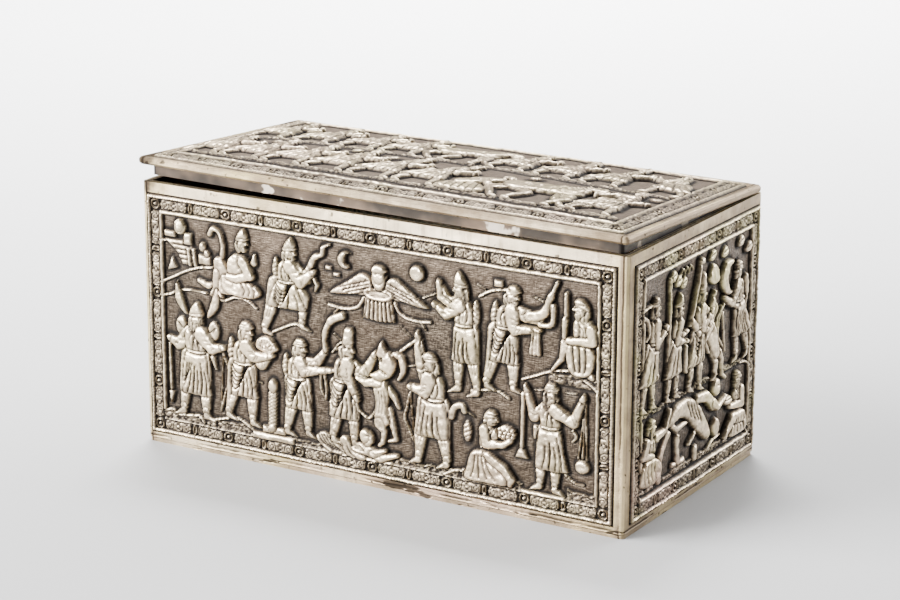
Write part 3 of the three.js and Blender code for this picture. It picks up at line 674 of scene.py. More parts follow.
    def arm(self, hand, relief, elbow=None, shoulder=0.03):
        t = self.tall
        root = self.upper(shoulder, 0.195)
        if elbow is None:
            elbow = bend(root, hand, ARM_BONE * t, -self.faces)
        w = t * self.slim
        self.sheet.limb([root, elbow, hand], [0.068 * w, 0.054 * w, 0.03 * w], relief, edge=2.2)
        beyond = between(elbow, hand, 1.14)
        self.sheet.limb([hand, beyond], [0.027 * t, 0.017 * t], relief, edge=1.0, gap=0.3, dark=0.3)
        across = (-(hand[1] - elbow[1]) * 0.12, (hand[0] - elbow[0]) * 0.12)
        for share in (0.02, 0.16):
            middle = between(elbow, hand, share)
            ahead = between(elbow, hand, share + 0.16)
            fold = [(middle[0] - across[0] * 1.2, middle[1] - across[1] * 1.2),
                    (ahead[0] + across[0] * 0.3, ahead[1] + across[1] * 0.3)]
            self.sheet.line(fold, 0.2, 0.18, 0.4)
        cuff = between(elbow, hand, 0.86)
        self.sheet.line([(cuff[0] - across[0], cuff[1] - across[1]),
                         (cuff[0] + across[0], cuff[1] + across[1])], 0.2, 0.2, 0.45)
        for share in (0.35, 0.65):
            start = between(root, elbow, share)
            self.sheet.line([start, between(start, hand, 0.22)], 0.2, 0.18, 0.36)

    def head(self, hat="cap", beard=True):
        t = self.tall
        if self.front:
            self.sheet.oval(self.upper(0.0, HEAD - 0.035), 0.075 * t, 0.075 * t, 1.35, edge=1.8)

        def at(forward, up):
            return self.upper(0.012 + forward, HEAD + up)

        self.sheet.oval(at(-0.036, -0.04), 0.05 * t * self.slim, 0.075 * t, 1.4, edge=1.8)
        self.sheet.oval(at(0.004, 0.0), 0.055 * t * self.slim, 0.07 * t, 1.6, edge=1.9, gap=0.45, dark=0.6)
        if not self.front:
            nose = [at(0.05, 0.008), at(0.062, -0.012)]
            self.sheet.limb(nose, [0.01 * t, 0.013 * t], 1.4, edge=0.6, gap=0.3, dark=0.3)
        chin = 0.0 if self.front else 0.026
        if beard:
            self.sheet.oval(at(chin, -0.06), 0.034 * t, 0.045 * t, 1.5, edge=1.2, gap=0.35, dark=0.45)
            for i in range(3):
                x = chin - 0.018 + 0.018 * i
                self.sheet.line([at(x, -0.045), at(x + 0.002, -0.09)], 0.18, 0.16, 0.4)
        for side in (-1, 1) if self.front else (-1,):
            for i in range(3):
                x = side * (0.04 + 0.013 * i)
                strand = [at(x * 0.9, 0.01), at(x, -0.04), at(x * 0.95, -0.1)]
                self.sheet.curve(strand, 0.2, 0.22, 0.5)
        for eye in (-0.02, 0.026) if self.front else (0.03,):
            self.sheet.line([at(eye - 0.01, 0.012), at(eye + 0.01, 0.012)], 0.24, 0.3, 0.8)
        self.sheet.line([at(chin, -0.034), at(chin + 0.022, -0.033)], 0.2, 0.2, 0.55)
        self.sheet.form([at(*share) for share in HATS[hat]], 1.58, edge=2.0, gap=0.4, dark=0.6)
        self.sheet.line([at(-0.06, 0.04), at(0.052, 0.048)], 0.2, 0.2, 0.45)
        if hat == "band":
            self.sheet.line([at(-0.055, 0.062), at(0.052, 0.068)], 0.2, 0.2, 0.45)

    def quiver(self):
        leaf = [(-0.12, 0.02), (-0.09, 0.05), (-0.085, 0.14), (-0.115, 0.23), (-0.15, 0.26),
                (-0.17, 0.19), (-0.165, 0.1)]
        self.sheet.form(self.uppers(leaf), 1.1, edge=1.6)
        for i in range(4):
            up = 0.06 + 0.045 * i
            self.sheet.line(self.uppers([(-0.16, up), (-0.105, up + 0.03)]), 0.2, 0.2, 0.4)


# %% A whole man
def man(sheet, at, tall, hands, toes, faces=1, hip=HIP, lean=0.02, hat="cap", quiver=False, swags=True,
        beard=True, pleats=4, hem=None, knees=(None, None), front=False, elbows=(None, None), slim=1.0):
    """Draws a whole man, from what lies furthest back to what lies nearest; places are on the sheet."""
    figure = Man(sheet, at, tall, faces, hip, lean, front, slim)
    if quiver:
        figure.quiver()
    figure.legs(toes, knees)
    figure.skirt(hem, pleats, swags)
    if len(hands) > 1:
        figure.arm(hands[1], 1.32, elbows[1], -0.05 if front else 0.05)
    figure.torso()
    figure.head(hat, beard)
    figure.arm(hands[0], 1.66, elbows[0], 0.06 if front else 0.03)
    return figure


def walker(sheet, at, tall, hands, feet, faces=1, **style):
    """A man whose hands and toes are shares of the man's own height, forward and up."""
    def on_sheet(shares):
        return [(at[0] + faces * forward * tall, at[1] + up * tall) for forward, up in shares]

    return man(sheet, at, tall, on_sheet(hands), on_sheet(feet), faces=faces, **style)


# %% [markdown]
# ## Beasts, bows and other things
# The smaller subjects are drawn from the same strokes.

# %% A beast
def beast(sheet, at, long, legs, rear, neck, mane=True):
    """A four-footed beast whose body slopes up from rump to chest."""
    def place(forward, up):
        return (at[0] + forward * long, at[1] + up * long)

    rump = (-0.3, 0.5)
    chest = (rump[0] + 0.56 * math.cos(rear), rump[1] + 0.56 * math.sin(rear))
    poll = (chest[0] + 0.24 * math.cos(rear + neck), chest[1] + 0.24 * math.sin(rear + neck))
    muzzle = (poll[0] + 0.17, poll[1] - 0.06)
    tail = [rump, (rump[0] - 0.1, rump[1] + 0.03), (rump[0] - 0.17, rump[1] + 0.1)]
    sheet.cord([place(*p) for p in tail], 0.55, 0.8)
    for i, foot in enumerate(legs):
        root = chest if i < 2 else rump
        knee = bend(place(*root), place(*foot), 0.3 * long, 1 if i % 2 else -1)
        sheet.limb([place(*root), knee, place(*foot)], [0.1 * long, 0.05 * long, 0.03 * long], 1.1)
        toe = place(foot[0] + 0.06, foot[1] - 0.01)
        sheet.limb([place(*foot), toe], [0.03 * long, 0.02 * long], 1.0)
    sheet.limb([place(*rump), place(*chest)], [0.14 * long, 0.15 * long], 1.5, edge=2.2)
    sheet.limb([place(*chest), place(*poll)], [0.12 * long, 0.075 * long], 1.6, edge=2.0)
    sheet.limb([place(*poll), place(*muzzle)], [0.075 * long, 0.04 * long], 1.65)
    ear = place(poll[0] - 0.01, poll[1] + 0.13)
    sheet.limb([place(*poll), ear], [0.035 * long, 0.012 * long], 1.4)
    sheet.line([place(poll[0] + 0.03, poll[1] + 0.01), place(poll[0] + 0.055, poll[1] + 0.005)],
               0.25, 0.3, 0.8)
    if mane:
        for i in range(6):
            share = i / 5
            top = (poll[0] + (chest[0] - poll[0]) * share - 0.07,
                   poll[1] + (chest[1] - poll[1]) * share + 0.04)
            sheet.line([place(*top), place(top[0] + 0.08, top[1] - 0.07)], 0.22, 0.25, 0.5)
    for i in range(3):
        x = rump[0] + 0.12 + 0.12 * i
        sheet.curve([place(x, rump[1] + 0.05), place(x + 0.03, rump[1] - 0.03),
                     place(x + 0.01, rump[1] - 0.1)], 0.24, 0.15, 0.3)


# %% Rods, bows, stones and hills
def rod(sheet, start, end, half=0.55, relief=1.0):
    sheet.limb([start, end], half, relief, edge=half * 1.1)


def bow(sheet, start, end, belly):
    sheet.cord([start, between(start, belly, 0.6), belly, between(belly, end, 0.4), end], 0.45, 0.9)
    sheet.ridge([start, end], 0.28, 0.6, 0.4)


def boulders(sheet, left, right, low, high, dice):
    """Rough ground: a ragged bank, pitted all over."""
    steps = max(3, round((right - left) / 3))
    ragged = [(left + (right - left) * i / steps, high + dice.uniform(-1.2, 0.5)) for i in range(steps + 1)]
    sheet.form([(left, low), *ragged, (right, low)], 0.45, edge=1.0, closed_curve=False)
    sheet.ridge(ragged, 0.3, 0.7, 0.5)
    for _ in range(int((right - left) * (high - low) * 1.3)):
        u = dice.uniform(left, right)
        v = dice.uniform(low, high - 0.6)
        reach = dice.uniform(0.1, 0.6)
        slant = dice.uniform(-0.6, 0.9)
        sheet.line([(u, v), (u + reach, v + reach * slant)], 0.2, dice.uniform(0.1, 0.28), 0.5)


def hill(sheet, points):
    sheet.cord(points, 0.5, 0.75, 0.7)


def block(sheet, centre, wide, high, relief=1.0):
    (u, v), (w, h) = centre, (wide / 2, high / 2)
    sheet.form([(u - w, v - h), (u + w, v - h), (u + w, v + h), (u - w, v + h)], relief, closed_curve=False)


# %% [markdown]
# ## The ornamental border
# Between two notched fillets runs a band of raised cartouches, each with two engraved scrolls, and small
# round flowers stand between them.

# %% The band of cartouches
CARTOUCHE = 16.0


def spiral(centre, radius, turns, start, hand):
    """Points of a scroll that winds inwards."""
    steps = int(10 * turns) + 2
    points = []
    for i in range(steps):
        share = i / (steps - 1)
        angle = start + hand * 2 * math.pi * turns * share
        r = radius * (1 - 0.82 * share)
        points.append((centre[0] + r * math.cos(angle), centre[1] + r * math.sin(angle)))
    return points


# %% One run of the band
def band_run(sheet, start, end, half, dice):
    """Ornament along one side of the border, from corner to corner."""
    length = math.hypot(end[0] - start[0], end[1] - start[1])
    du, dv = (end[0] - start[0]) / length, (end[1] - start[1]) / length

    def at(along, across):
        return (start[0] + du * along - dv * across, start[1] + dv * along + du * across)

    count = max(1, round(length / CARTOUCHE))
    step = length / count
    for i in range(count):
        sway = dice.uniform(-0.25, 0.25)
        flower = i * step + (sway if i else 0.0)
        round_by = 0.8 if i % 2 == 0 else 0.3
        turns = np.linspace(0, 2 * math.pi, 13)
        ring = [at(flower + half * round_by * math.cos(a), half * 0.8 * math.sin(a)) for a in turns]
        sheet.ridge(ring, 0.36, 0.6, 0.7)
        if i % 2 == 0:
            sheet.oval(at(flower, 0.0), 0.6, 0.6, 0.7, edge=0.6, gap=0.4)
        round_next = i % 2 == 1 or i + 1 == count
        left = i * step + (1.6 if i % 2 else 2.7)
        right = (i + 1) * step - (2.7 if round_next else 1.6)
        middle = (left + right) / 2
        paths = []
        for side, centre in ((-1, left + half * 0.9), (1, right - half * 0.9)):
            lean = side * (1 if i % 2 else -1)
            scroll = spiral((centre, 0.0), half * 0.84, 1.6, math.pi / 2 * (1 + side) + 0.4 * lean, -lean)
            tail = [(middle, half * 0.5 * lean), (centre - side * half * 0.9, half * 0.75 * lean)]
            paths.append([at(*p) for p in smooth(tail) + scroll])
        upper = [(left, half * 0.35), (left + 1.2, half * 0.97), (middle, half * 0.8),
                 (right - 1.2, half * 0.97), (right, half * 0.35)]
        lower = [(along, -across) for along, across in reversed(upper)]
        sheet.form([at(*p) for p in upper + lower], 0.62, edge=0.6, gap=0.4, dark=0.8)
        for path in paths:
            sheet.line(path, 0.17, 0.22, 0.5)
        for side in (-1, 1):
            inner_edge = [(left + 0.5, side * half * 0.3), (left + 1.5, side * half * 0.7),
                          (middle, side * half * 0.55), (right - 1.5, side * half * 0.7),
                          (right - 0.5, side * half * 0.3)]
            sheet.line([at(*p) for p in smooth(inner_edge)], 0.14, 0.16, 0.4)
            bud = [(middle - 1.2, 0.0), (middle, side * half * 0.35), (middle + 1.2, 0.0)]
            sheet.line([at(*p) for p in smooth(bud)], 0.15, 0.2, 0.45)


# %% The whole border
def border(sheet, dice):
    """Two notched fillets and the band of cartouches between them."""
    left, right, low, high = sheet.edges
    outer, inner, half = 0.95, 6.4, 2.15

    def runs(inset):
        a, b, c, d = left + inset, right - inset, low + inset, high - inset
        corners = [(a, c), (b, c), (b, d), (a, d), (a, c)]
        return zip(corners[:-1], corners[1:])

    def fillet(inset, half_width, relief):
        for start, end in runs(inset):
            sheet.limb([start, end], half_width, relief, edge=half_width, gap=0.5, dark=0.85)

    for start, end in runs((outer + inner) / 2):
        band_run(sheet, start, end, half, dice)
    fillet(outer, 0.6, 0.95)
    fillet(inner, 0.62, 1.0)
    notch = 1.1
    tick = (0.13, 0.16, 0.3)
    for across in (low + outer, high - outer):
        for u in np.arange(left + 2, right - 2, notch):
            sheet.line([(u, across - 0.5), (u + 0.3, across + 0.5)], *tick)
    for along in (left + outer, right - outer):
        for v in np.arange(low + 2, high - 2, notch):
            sheet.line([(along - 0.5, v), (along + 0.5, v + 0.3)], *tick)
    print("border round a sheet of", round(right - left, 1), "by", round(high - low, 1), "mm")


# %% [markdown]
# ## The front scene
# Above, musicians and servants surround a winged disc, with a crescent and a sun; below, guards and
# bearers attend a king who faces a rearing beast over a fallen man. The places are millimetres on the
# front, from its lower left corner. Each figure has its own function, and what lies further back is drawn
# first.

# %% The winged disc
def winged_disc(sheet, centre):
    u, v = centre
    for side in (-1, 1):
        ribbon = [(u + side * 6, v - 1.5), (u + side * 9, v - 6), (u + side * 15, v - 7.5),
                  (u + side * 21, v - 7)]
        sheet.cord(ribbon, 0.6, 0.8)
        fork = [(u + side * 17, v - 7.6), (u + side * 19, v - 10)]
        sheet.ridge(fork, 0.45, 0.7)
        wing = [(u + side * 2.5, v + 4.5), (u + side * 7, v + 6.8), (u + side * 13, v + 3),
                (u + side * 20.5, v - 2.2), (u + side * 11, v - 1.5), (u + side * 3, v - 0.5)]
        sheet.form(wing, 1.2)
        for i in range(4):
            root = (u + side * 4, v + 4.5 - 1.3 * i)
            tip = (u + side * (16 - 1.5 * i), v + 0.6 - 0.8 * i)
            sheet.line([root, tip], 0.25, 0.28, 0.55)
        for i in range(5):
            x = u + side * (5 + 2.1 * i)
            sheet.line([(x, v + 5 - 1.1 * i), (x + side * 1.2, v + 3.2 - 1.0 * i)], 0.2, 0.2, 0.5)
    tail = [(u - 5.5, v - 1), (u + 5.5, v - 1), (u + 6.5, v - 9.5), (u, v - 10), (u - 6.5, v - 9.5)]
    sheet.form(tail, 1.3, closed_curve=False)
    for i in range(7):
        x = -4.8 + 1.6 * i
        sheet.line([(u + x, v - 2.5), (u + x * 1.18, v - 9.5)], 0.3, 0.45, 0.8)
    sheet.oval((u, v), 6.3, 2.4, 1.4)
    sheet.oval((u, v + 0.2), 4.6, 1.2, 0.9, gap=0.3, dark=0.6)
    sheet.oval((u + 0.3, v + 5.8), 3.0, 4.4, 1.55)
    sheet.oval((u + 0.4, v + 6.8), 2.2, 3.0, 1.7, gap=0.35, dark=0.5)
    for side in (-1, 1):
        sheet.line([(u + 0.4 + side * 0.9, v + 7.4), (u + 0.4 + side * 1.4, v + 7.4)], 0.22, 0.25, 0.7)
        sheet.curve([(u + side * 2.6, v + 8), (u + side * 3.0, v + 5), (u + side * 2.2, v + 2)],
                    0.22, 0.25, 0.5)
    sheet.form([(u - 2.4, v + 8.2), (u + 3, v + 8.2), (u + 2.6, v + 10.2), (u, v + 10.8),
                (u - 2, v + 10.2)], 1.6, gap=0.35)
    print("winged disc about", centre)


# %% The town
def town(sheet):
    """A small fortified hill in the upper left corner."""
    hill(sheet, [(8, 79), (12, 79), (15, 76), (20, 71.5)])
    sheet.form([(10, 80), (22, 80), (24, 72), (18, 71), (15, 76)], 0.8, closed_curve=False)
    for i in range(4):
        sheet.line([(14 + 0.6 * i, 78.5 - 1.8 * i), (22.5, 78 - 1.6 * i)], 0.24, 0.3, 0.65)
    block(sheet, (12.5, 82), 5, 2.4)
    block(sheet, (20.3, 81), 3.4, 4.4)
    for u in (20.5, 22.8):
        rod(sheet, (u, 77), (u + 0.8, 71.5), 0.7)
    sheet.oval((17, 85.2), 2.5, 3.0, 1.3)
    sheet.oval((17.2, 85.5), 1.7, 2.1, 1.5, gap=0.35, dark=0.5)
    block(sheet, (27.5, 74), 5.4, 3.6, 0.8)
    sheet.oval((26.8, 78.8), 1.4, 2.0, 1.1)
    sheet.oval((28.6, 76.6), 1.3, 1.3, 1.0)
    sheet.form([(11, 68), (15.5, 69.5), (13, 73.6)], 1.0, closed_curve=False)
    hill(sheet, [(8, 63), (14, 66), (20, 69), (26, 71), (31, 71.6)])
    hill(sheet, [(8, 58), (12, 59), (16, 61), (22, 61.8), (28, 61.5)])
    hill(sheet, [(31, 61), (36, 60), (41, 62), (46, 61.5), (50, 59)])


# %% The fallen man
def fallen_man(sheet):
    """A man lying face down under the king's feet, on a folded cloak."""
    cloak = [(75.5, 15), (78, 17.5), (81, 17), (88, 12), (86, 10.6), (80, 11)]
    sheet.form(cloak, 1.0)
    sheet.folds(4, [(76.5, 16.5, 1.3), (79, 13.5, 1.4), (83, 11.4, 1.3)], 0.28, 0.35, 0.7)
    sheet.limb([(88, 15.5), (90, 12.5), (95, 11.5)], [2.4, 2.2, 2.0], 1.2)
    sheet.limb([(93, 14.5), (98, 14), (103, 12), (110, 14)], [2.0, 2.2, 1.6, 0.9], 1.4)
    sheet.limb([(100, 13), (105, 15)], [1.4, 0.8], 1.3)
    sheet.oval((97.6, 18.6), 2.7, 3.1, 1.5)
    sheet.oval((96.6, 19.4), 2.2, 2.6, 1.65, gap=0.35, dark=0.5)
    sheet.line([(97.6, 19.8), (98.6, 19.7)], 0.25, 0.25, 0.7)
    sheet.curve([(89, 14), (90.4, 11.6), (92.6, 10.4)], 0.28, 0.3, 0.6)


# %% The front's ground
def front_ground(sheet, dice):
    town(sheet)
    boulders(sheet, 8, 32, 10.5, 13.5, dice)
    hill(sheet, [(9, 13.5), (12, 14.5), (15, 13), (21, 13.5), (24, 13.8), (26, 11.5)])
    boulders(sheet, 32, 47, 10.5, 14, dice)
    hill(sheet, [(31, 13.6), (36, 15), (40, 16), (44, 15), (48, 12.5)])
    boulders(sheet, 66, 78, 10.5, 13, dice)
    boulders(sheet, 108, 136, 10.5, 13, dice)
    hill(sheet, [(129, 10.8), (133, 12.8), (137, 13.8)])
    boulders(sheet, 136, 160, 10.5, 13, dice)
    boulders(sheet, 178, 189, 10.5, 14, dice)
    boulders(sheet, 170, 189, 51.5, 55, dice)
    hill(sheet, [(160, 51), (166, 53.5), (172, 56), (178, 57)])
    hill(sheet, [(184, 54.5), (187, 53), (189.5, 51)])
    hill(sheet, [(57, 51.5), (62, 54), (67, 56), (70, 55)])
    hill(sheet, [(140, 43.5), (147, 45), (151, 44.8), (155, 43)])
    sheet.oval((118, 82.5), 2.9, 2.9, 1.5, edge=1.2)
    crescent = [(88.5 + 3.2 * math.cos(a), 83 + 3.2 * math.sin(a)) for a in np.linspace(0.9, 5.2, 12)]
    crescent += [(90.2 + 2.0 * math.cos(a), 83.4 + 2.2 * math.sin(a)) for a in np.linspace(4.6, 1.7, 8)]
    sheet.form(crescent, 1.4, closed_curve=False)
    for u, v in ((81, 79), (84.5, 77)):
        block(sheet, (u, v), 2.6, 1.6, 0.7)
    for a, b in (((73, 73), (76, 74)), ((48, 31.5), (52, 31.2)), ((83, 55), (86, 53)), ((111, 62), (115, 59)),
                 ((120, 73.8), (125, 76)), ((137, 36), (141, 34)), ((164, 81), (168, 79.6)),
                 ((165, 48), (169, 48.5)), ((177, 49), (181, 49.2)), ((114, 48), (117, 48.6)),
                 ((142, 82), (145, 80.6))):
        sheet.ridge([a, b], 0.35, 0.5, 0.6)
    winged_disc(sheet, (102.3, 72.5))


# %% The front's upper row
def harper(sheet):
    """A seated player with a harp."""
    player = Man(sheet, (43, 61), 37, faces=1, hip=0.27)
    sheet.limb(smooth([(30, 84), (31.5, 86.4), (34.5, 85), (35.8, 80), (35, 74)]), 0.95, 1.2)
    sheet.limb([(25, 66), (29, 64.5), (32, 65.5)], [0.9, 1.3, 0.8], 0.9)
    sheet.form([(32, 75), (35.5, 76), (40, 70), (43, 64), (35, 62.5), (32.5, 66)], 1.3)
    sheet.limb([(33, 70), (32.4, 64), (30.5, 61.6)], [1.6, 1.2, 0.7], 1.35)
    sheet.limb([(33, 63), (35.5, 61.5)], [1.0, 0.6], 1.3)
    sheet.form([(36, 70), (44, 69), (50, 67.5), (52.5, 65), (49, 62.6), (40, 62.8), (36, 65)], 1.4)
    sheet.folds(3, [(44, 67.8, 2.4), (45.5, 65.5, 2.2), (45, 63.4, 2.2)], 0.25, 0.25, 0.5)
    sheet.form([(39, 70.5), (46, 70), (48.5, 74), (45.5, 78), (41, 78.5), (38, 75)], 1.5)
    sheet.limb([(45, 76), (48, 71), (42, 69.2), (38.5, 69.6)], [2.0, 1.8, 1.4, 1.2], 1.7)
    player.head("cap")
    sheet.limb([(49.2, 76), (49.6, 79)], [1.4, 0.5], 1.0)


def trumpeter(sheet):
    """A striding man with a trumpet."""
    sheet.limb([(74.5, 75), (76.5, 72), (75.5, 69.5)], [0.9, 0.8, 0.4], 1.1)
    man(sheet, (63.5, 49), 39, [(75, 76.5), (74, 80)], [(73.5, 54), (57.5, 50)], quiver=True,
        knees=((70.5, 66.5), None), hem=(55.5, 71.5, 61.5), pleats=3)
    sheet.limb(smooth([(74, 79), (75.4, 82), (78.4, 83.4), (79, 86), (81.5, 87.5)]),
               [1.2] * 8 + [0.9] * 8 + [0.5] * 5, 1.2)


# %% The front's lower row, left half
def guard(sheet):
    """A guard, seen from the front, with bow and spear."""
    for side in (-1, 1):
        sheet.form([(24 + side * 9, 64.5), (24 + side * 9.5, 57), (24 + side * 4.5, 52),
                    (24 + side * 6, 58)], 1.1)
        sheet.oval((24 + side * 7.2, 47.6), 2.4, 3.8, 1.1)
        for i in range(2):
            sheet.line([(24 + side * (5.8 + i), 47), (24 + side * (8 + i * 0.5), 49)], 0.22, 0.25, 0.5)
    sheet.limb([(17.5, 37.5), (16.5, 32)], [1.3, 0.4], 0.9)
    sheet.limb([(30.5, 37.5), (32, 33)], [1.2, 0.4], 0.9)
    rod(sheet, (11.4, 40), (11.6, 18), 0.55, 0.9)
    sheet.form([(10.2, 21.8), (13, 21.8), (11.6, 16.8)], 1.0, closed_curve=False)
    man(sheet, (23.5, 13), 45, [(35.5, 42), (11.5, 42.3)], [(31.5, 12.6), (13, 13.2)], swags=False, hat="cap",
        pleats=5, hem=(17, 29.5, 22.3), front=True, elbows=((30.5, 41), (15.5, 40.5)), lean=0.0)
    for i in range(3):
        sheet.curve([(21.5 - i, 34), (19.5 - 0.5 * i, 29.5 - i), (17.6, 28.5 - 1.8 * i)], 0.26, 0.3, 0.5)
    bow(sheet, (35, 40), (33.6, 17.5), (38.3, 32.5))


def bowl_bearer(sheet):
    """A bearer with a heaped bowl, then the pillar and its steps."""
    man(sheet, (44, 13), 43, [(56.5, 42.5), (57, 44.5)], [(52, 13.8), (41.5, 15)], hat="band", quiver=True,
        hem=(39.3, 50.3, 25), elbows=((49, 41), None))
    sheet.form([(50, 44.5), (50.5, 48), (55, 49.8), (58.6, 47.4), (59.3, 44.6), (55, 43.2)], 1.35, edge=1.8)
    for i in range(9):
        sheet.oval((51.6 + 0.8 * i, 46.4 + 1.3 * math.sin(i * 1.9)),
                   0.7, 0.6, 1.6, edge=0.6, gap=0.3, dark=0.7)
    block(sheet, (57, 11.4), 18, 2.4, 0.95)
    block(sheet, (57.3, 14.2), 10, 2.6, 1.05)
    rod(sheet, (56.6, 15.5), (56.8, 28), 1.9, 1.25)
    for i in range(10):
        sheet.line([(54.8, 15.8 + 1.3 * i), (58.6, 18.0 + 1.3 * i)], 0.18, 0.16, 0.42)
        sheet.line([(54.8, 18.0 + 1.3 * i), (58.6, 15.8 + 1.3 * i)], 0.18, 0.16, 0.42)
    sheet.oval((57, 31.2), 1.9, 2.6, 1.35)


def horn_player(sheet):
    """A man with a horn."""
    man(sheet, (67.5, 13), 40, [(82, 41.2), (80, 48.5)], [(76, 14), (67, 13.4)], hat="band", quiver=True,
        hem=(62.8, 73.8, 24.5), elbows=((71, 39), (75.5, 42.5)))
    sheet.limb(smooth([(80, 48.5), (79.6, 54), (82, 59.5), (87, 62.3)]),
               [0.9] * 5 + [1.1] * 5 + [1.5] * 6, 1.45)
    for i in range(2):
        sheet.cord([(77.6 + 1.6 * i, 39), (77.6 + 2.4 * i, 34), (79.6, 30)], 0.5, 0.8)


# %% The king and the beast
def king(sheet):
    """The king, who stands over the fallen man."""
    fallen_man(sheet)
    man(sheet, (87.5, 13.5), 43, [(93, 33), (100.5, 50)], [(96, 13.8), (87, 14)], hat="crown",
        hem=(81.2, 93.3, 24.3), elbows=((89, 41), (96, 42)))
    sheet.limb([(93.5, 41), (97.5, 40), (101, 40.2)], [1.3, 1.2, 0.9], 1.4)
    for i in range(2):
        sheet.cord([(82.5, 48), (86, 50.5 + i * 1.6), (88.5, 51)], 0.4, 0.7)


def rearing_beast(sheet):
    """The beast that rears in front of the king."""
    sheet.limb(smooth([(108.5, 51.5), (111.5, 50.5), (112.2, 46), (110.5, 42.5)]),
               [0.9, 1.0, 1.2, 1.3, 1.4, 1.5, 1.5, 1.5, 1.4, 1.3, 1.2, 1.0, 0.9, 0.8, 0.7, 0.6], 1.2)
    sheet.cord([(101, 30), (98, 26), (94, 28)], 0.5, 0.8)
    sheet.limb([(106, 38), (108.5, 36), (110.5, 32)], [1.8, 1.4, 0.7], 1.2)
    sheet.limb([(106, 30), (108.5, 24), (109.5, 20), (106.5, 19)], [2.0, 1.2, 0.9, 0.6], 1.2)
    body = [(99.5, 41), (105, 41.5), (106.5, 36), (106, 30), (107, 26), (103.5, 23), (100.5, 26), (101, 33)]
    sheet.form(body, 1.5, edge=2.0)
    sheet.limb([(102.5, 25), (104.5, 22.5), (104, 18), (102.5, 16.8)], [2.2, 1.3, 0.9, 0.7], 1.35)
    sheet.limb([(102, 40.5), (97, 39), (93.5, 40.5)], [2.0, 1.4, 0.8], 1.5)
    head = [(102, 52.5), (107, 52), (109.5, 48), (107.5, 43), (103, 41), (98.5, 42.5), (102.5, 45.5)]
    sheet.form(head, 1.65, edge=2.2)
    sheet.form([(101.5, 50), (103.5, 55.8), (105.8, 51)], 1.4)
    sheet.oval((103.6, 48.8), 0.8, 0.8, 0.6, edge=0.5, gap=0.4)
    sheet.curve([(100, 44.2), (103, 45.2), (106, 44)], 0.3, 0.4, 0.8)
    sheet.folds(4, [(101.5, 37.5, 1.2), (102, 33, 1.2), (101.4, 29, 1.4)], 0.22, 0.2, 0.35)


def swordsman(sheet):
    """A man with a short blade and a bow."""
    bow(sheet, (115, 38.5), (116.8, 20.5), (112.8, 29))
    man(sheet, (125, 12), 45, [(115.5, 41), (118.5, 60)], [(114.5, 12.6), (126, 12.6)], faces=-1, hat="band",
        swags=False, hem=(118.3, 130.6, 23.8), elbows=((121.5, 40), (119.8, 49.5)))
    sheet.limb([(119.6, 50), (118.3, 56), (118.2, 60.5)], [1.8, 1.3, 1.1], 1.5)
    rod(sheet, (118, 58.5), (111.3, 53.2), 0.6, 1.1)


# %% The servants and the man with a blade
def servants(sheet):
    """Two servants at the upper right."""
    man(sheet, (137, 41), 45, [(125.5, 72.5), (127, 80.5)], [(130.5, 41.6), (138, 41)], faces=-1, quiver=True,
        swags=False, hem=(132, 142, 53.5), elbows=((130, 69.5), (130.5, 74.5)), slim=0.86)
    sheet.limb([(127, 80.5), (127.4, 75.5), (131, 73.5)], [1.2, 1.2, 1.3], 1.35)
    man(sheet, (153.5, 45), 41, [(166, 69.5), (170.5, 79)], [(160.5, 45.4), (150, 45)],
        hat="band", quiver=True,
        hem=(148, 158.7, 56), elbows=((157, 68.5), (166, 73.5)), pleats=5, lean=0.04)
    sheet.limb(smooth([(163, 74), (168.5, 76), (170.5, 81), (173.5, 87.5)]),
               [1.7] * 8 + [1.3] * 4 + [0.7] * 4, 1.4)
    sheet.limb(smooth([(167, 71.5), (171.5, 72.5), (172, 79)]), 1.0, 1.2)
    for i in range(3):
        sheet.limb([(164.2 + 1.0 * i, 68.5), (163.4 + 1.5 * i, 61)], [0.6, 0.85], 1.05, gap=0.4)
    block(sheet, (150.5, 83.6), 3.6, 2.4, 0.8)
    hill(sheet, [(143, 78), (148, 80.8), (155, 82)])


def blade_holder(sheet):
    """A kneeling man with an upright blade."""
    kneeler = Man(sheet, (184, 54), 41, faces=-1, hip=0.3)
    sheet.limb([(181, 60), (187, 56)], [2.6, 1.2], 1.0)
    sheet.form([(177.5, 67), (187, 67), (188, 60), (185, 56), (180, 55.8), (177.5, 60)], 1.4)
    sheet.folds(3, [(180, 66, 2.4), (180.4, 61, 2.3), (181, 57.6, 1.8)], 0.3, 0.35, 0.6)
    sheet.limb([(176.5, 67), (175.6, 61), (172, 56.6)], [1.5, 1.1, 0.6], 1.3)
    rod(sheet, (177, 74), (177, 84), 0.8, 1.2)
    kneeler.torso()
    kneeler.head("hair")
    sheet.limb([(187, 73), (187.5, 68.5), (178, 68)], [1.9, 1.7, 1.2], 1.7)
    sheet.limb([(176.6, 75), (176.4, 69)], [1.2, 0.9], 1.5)


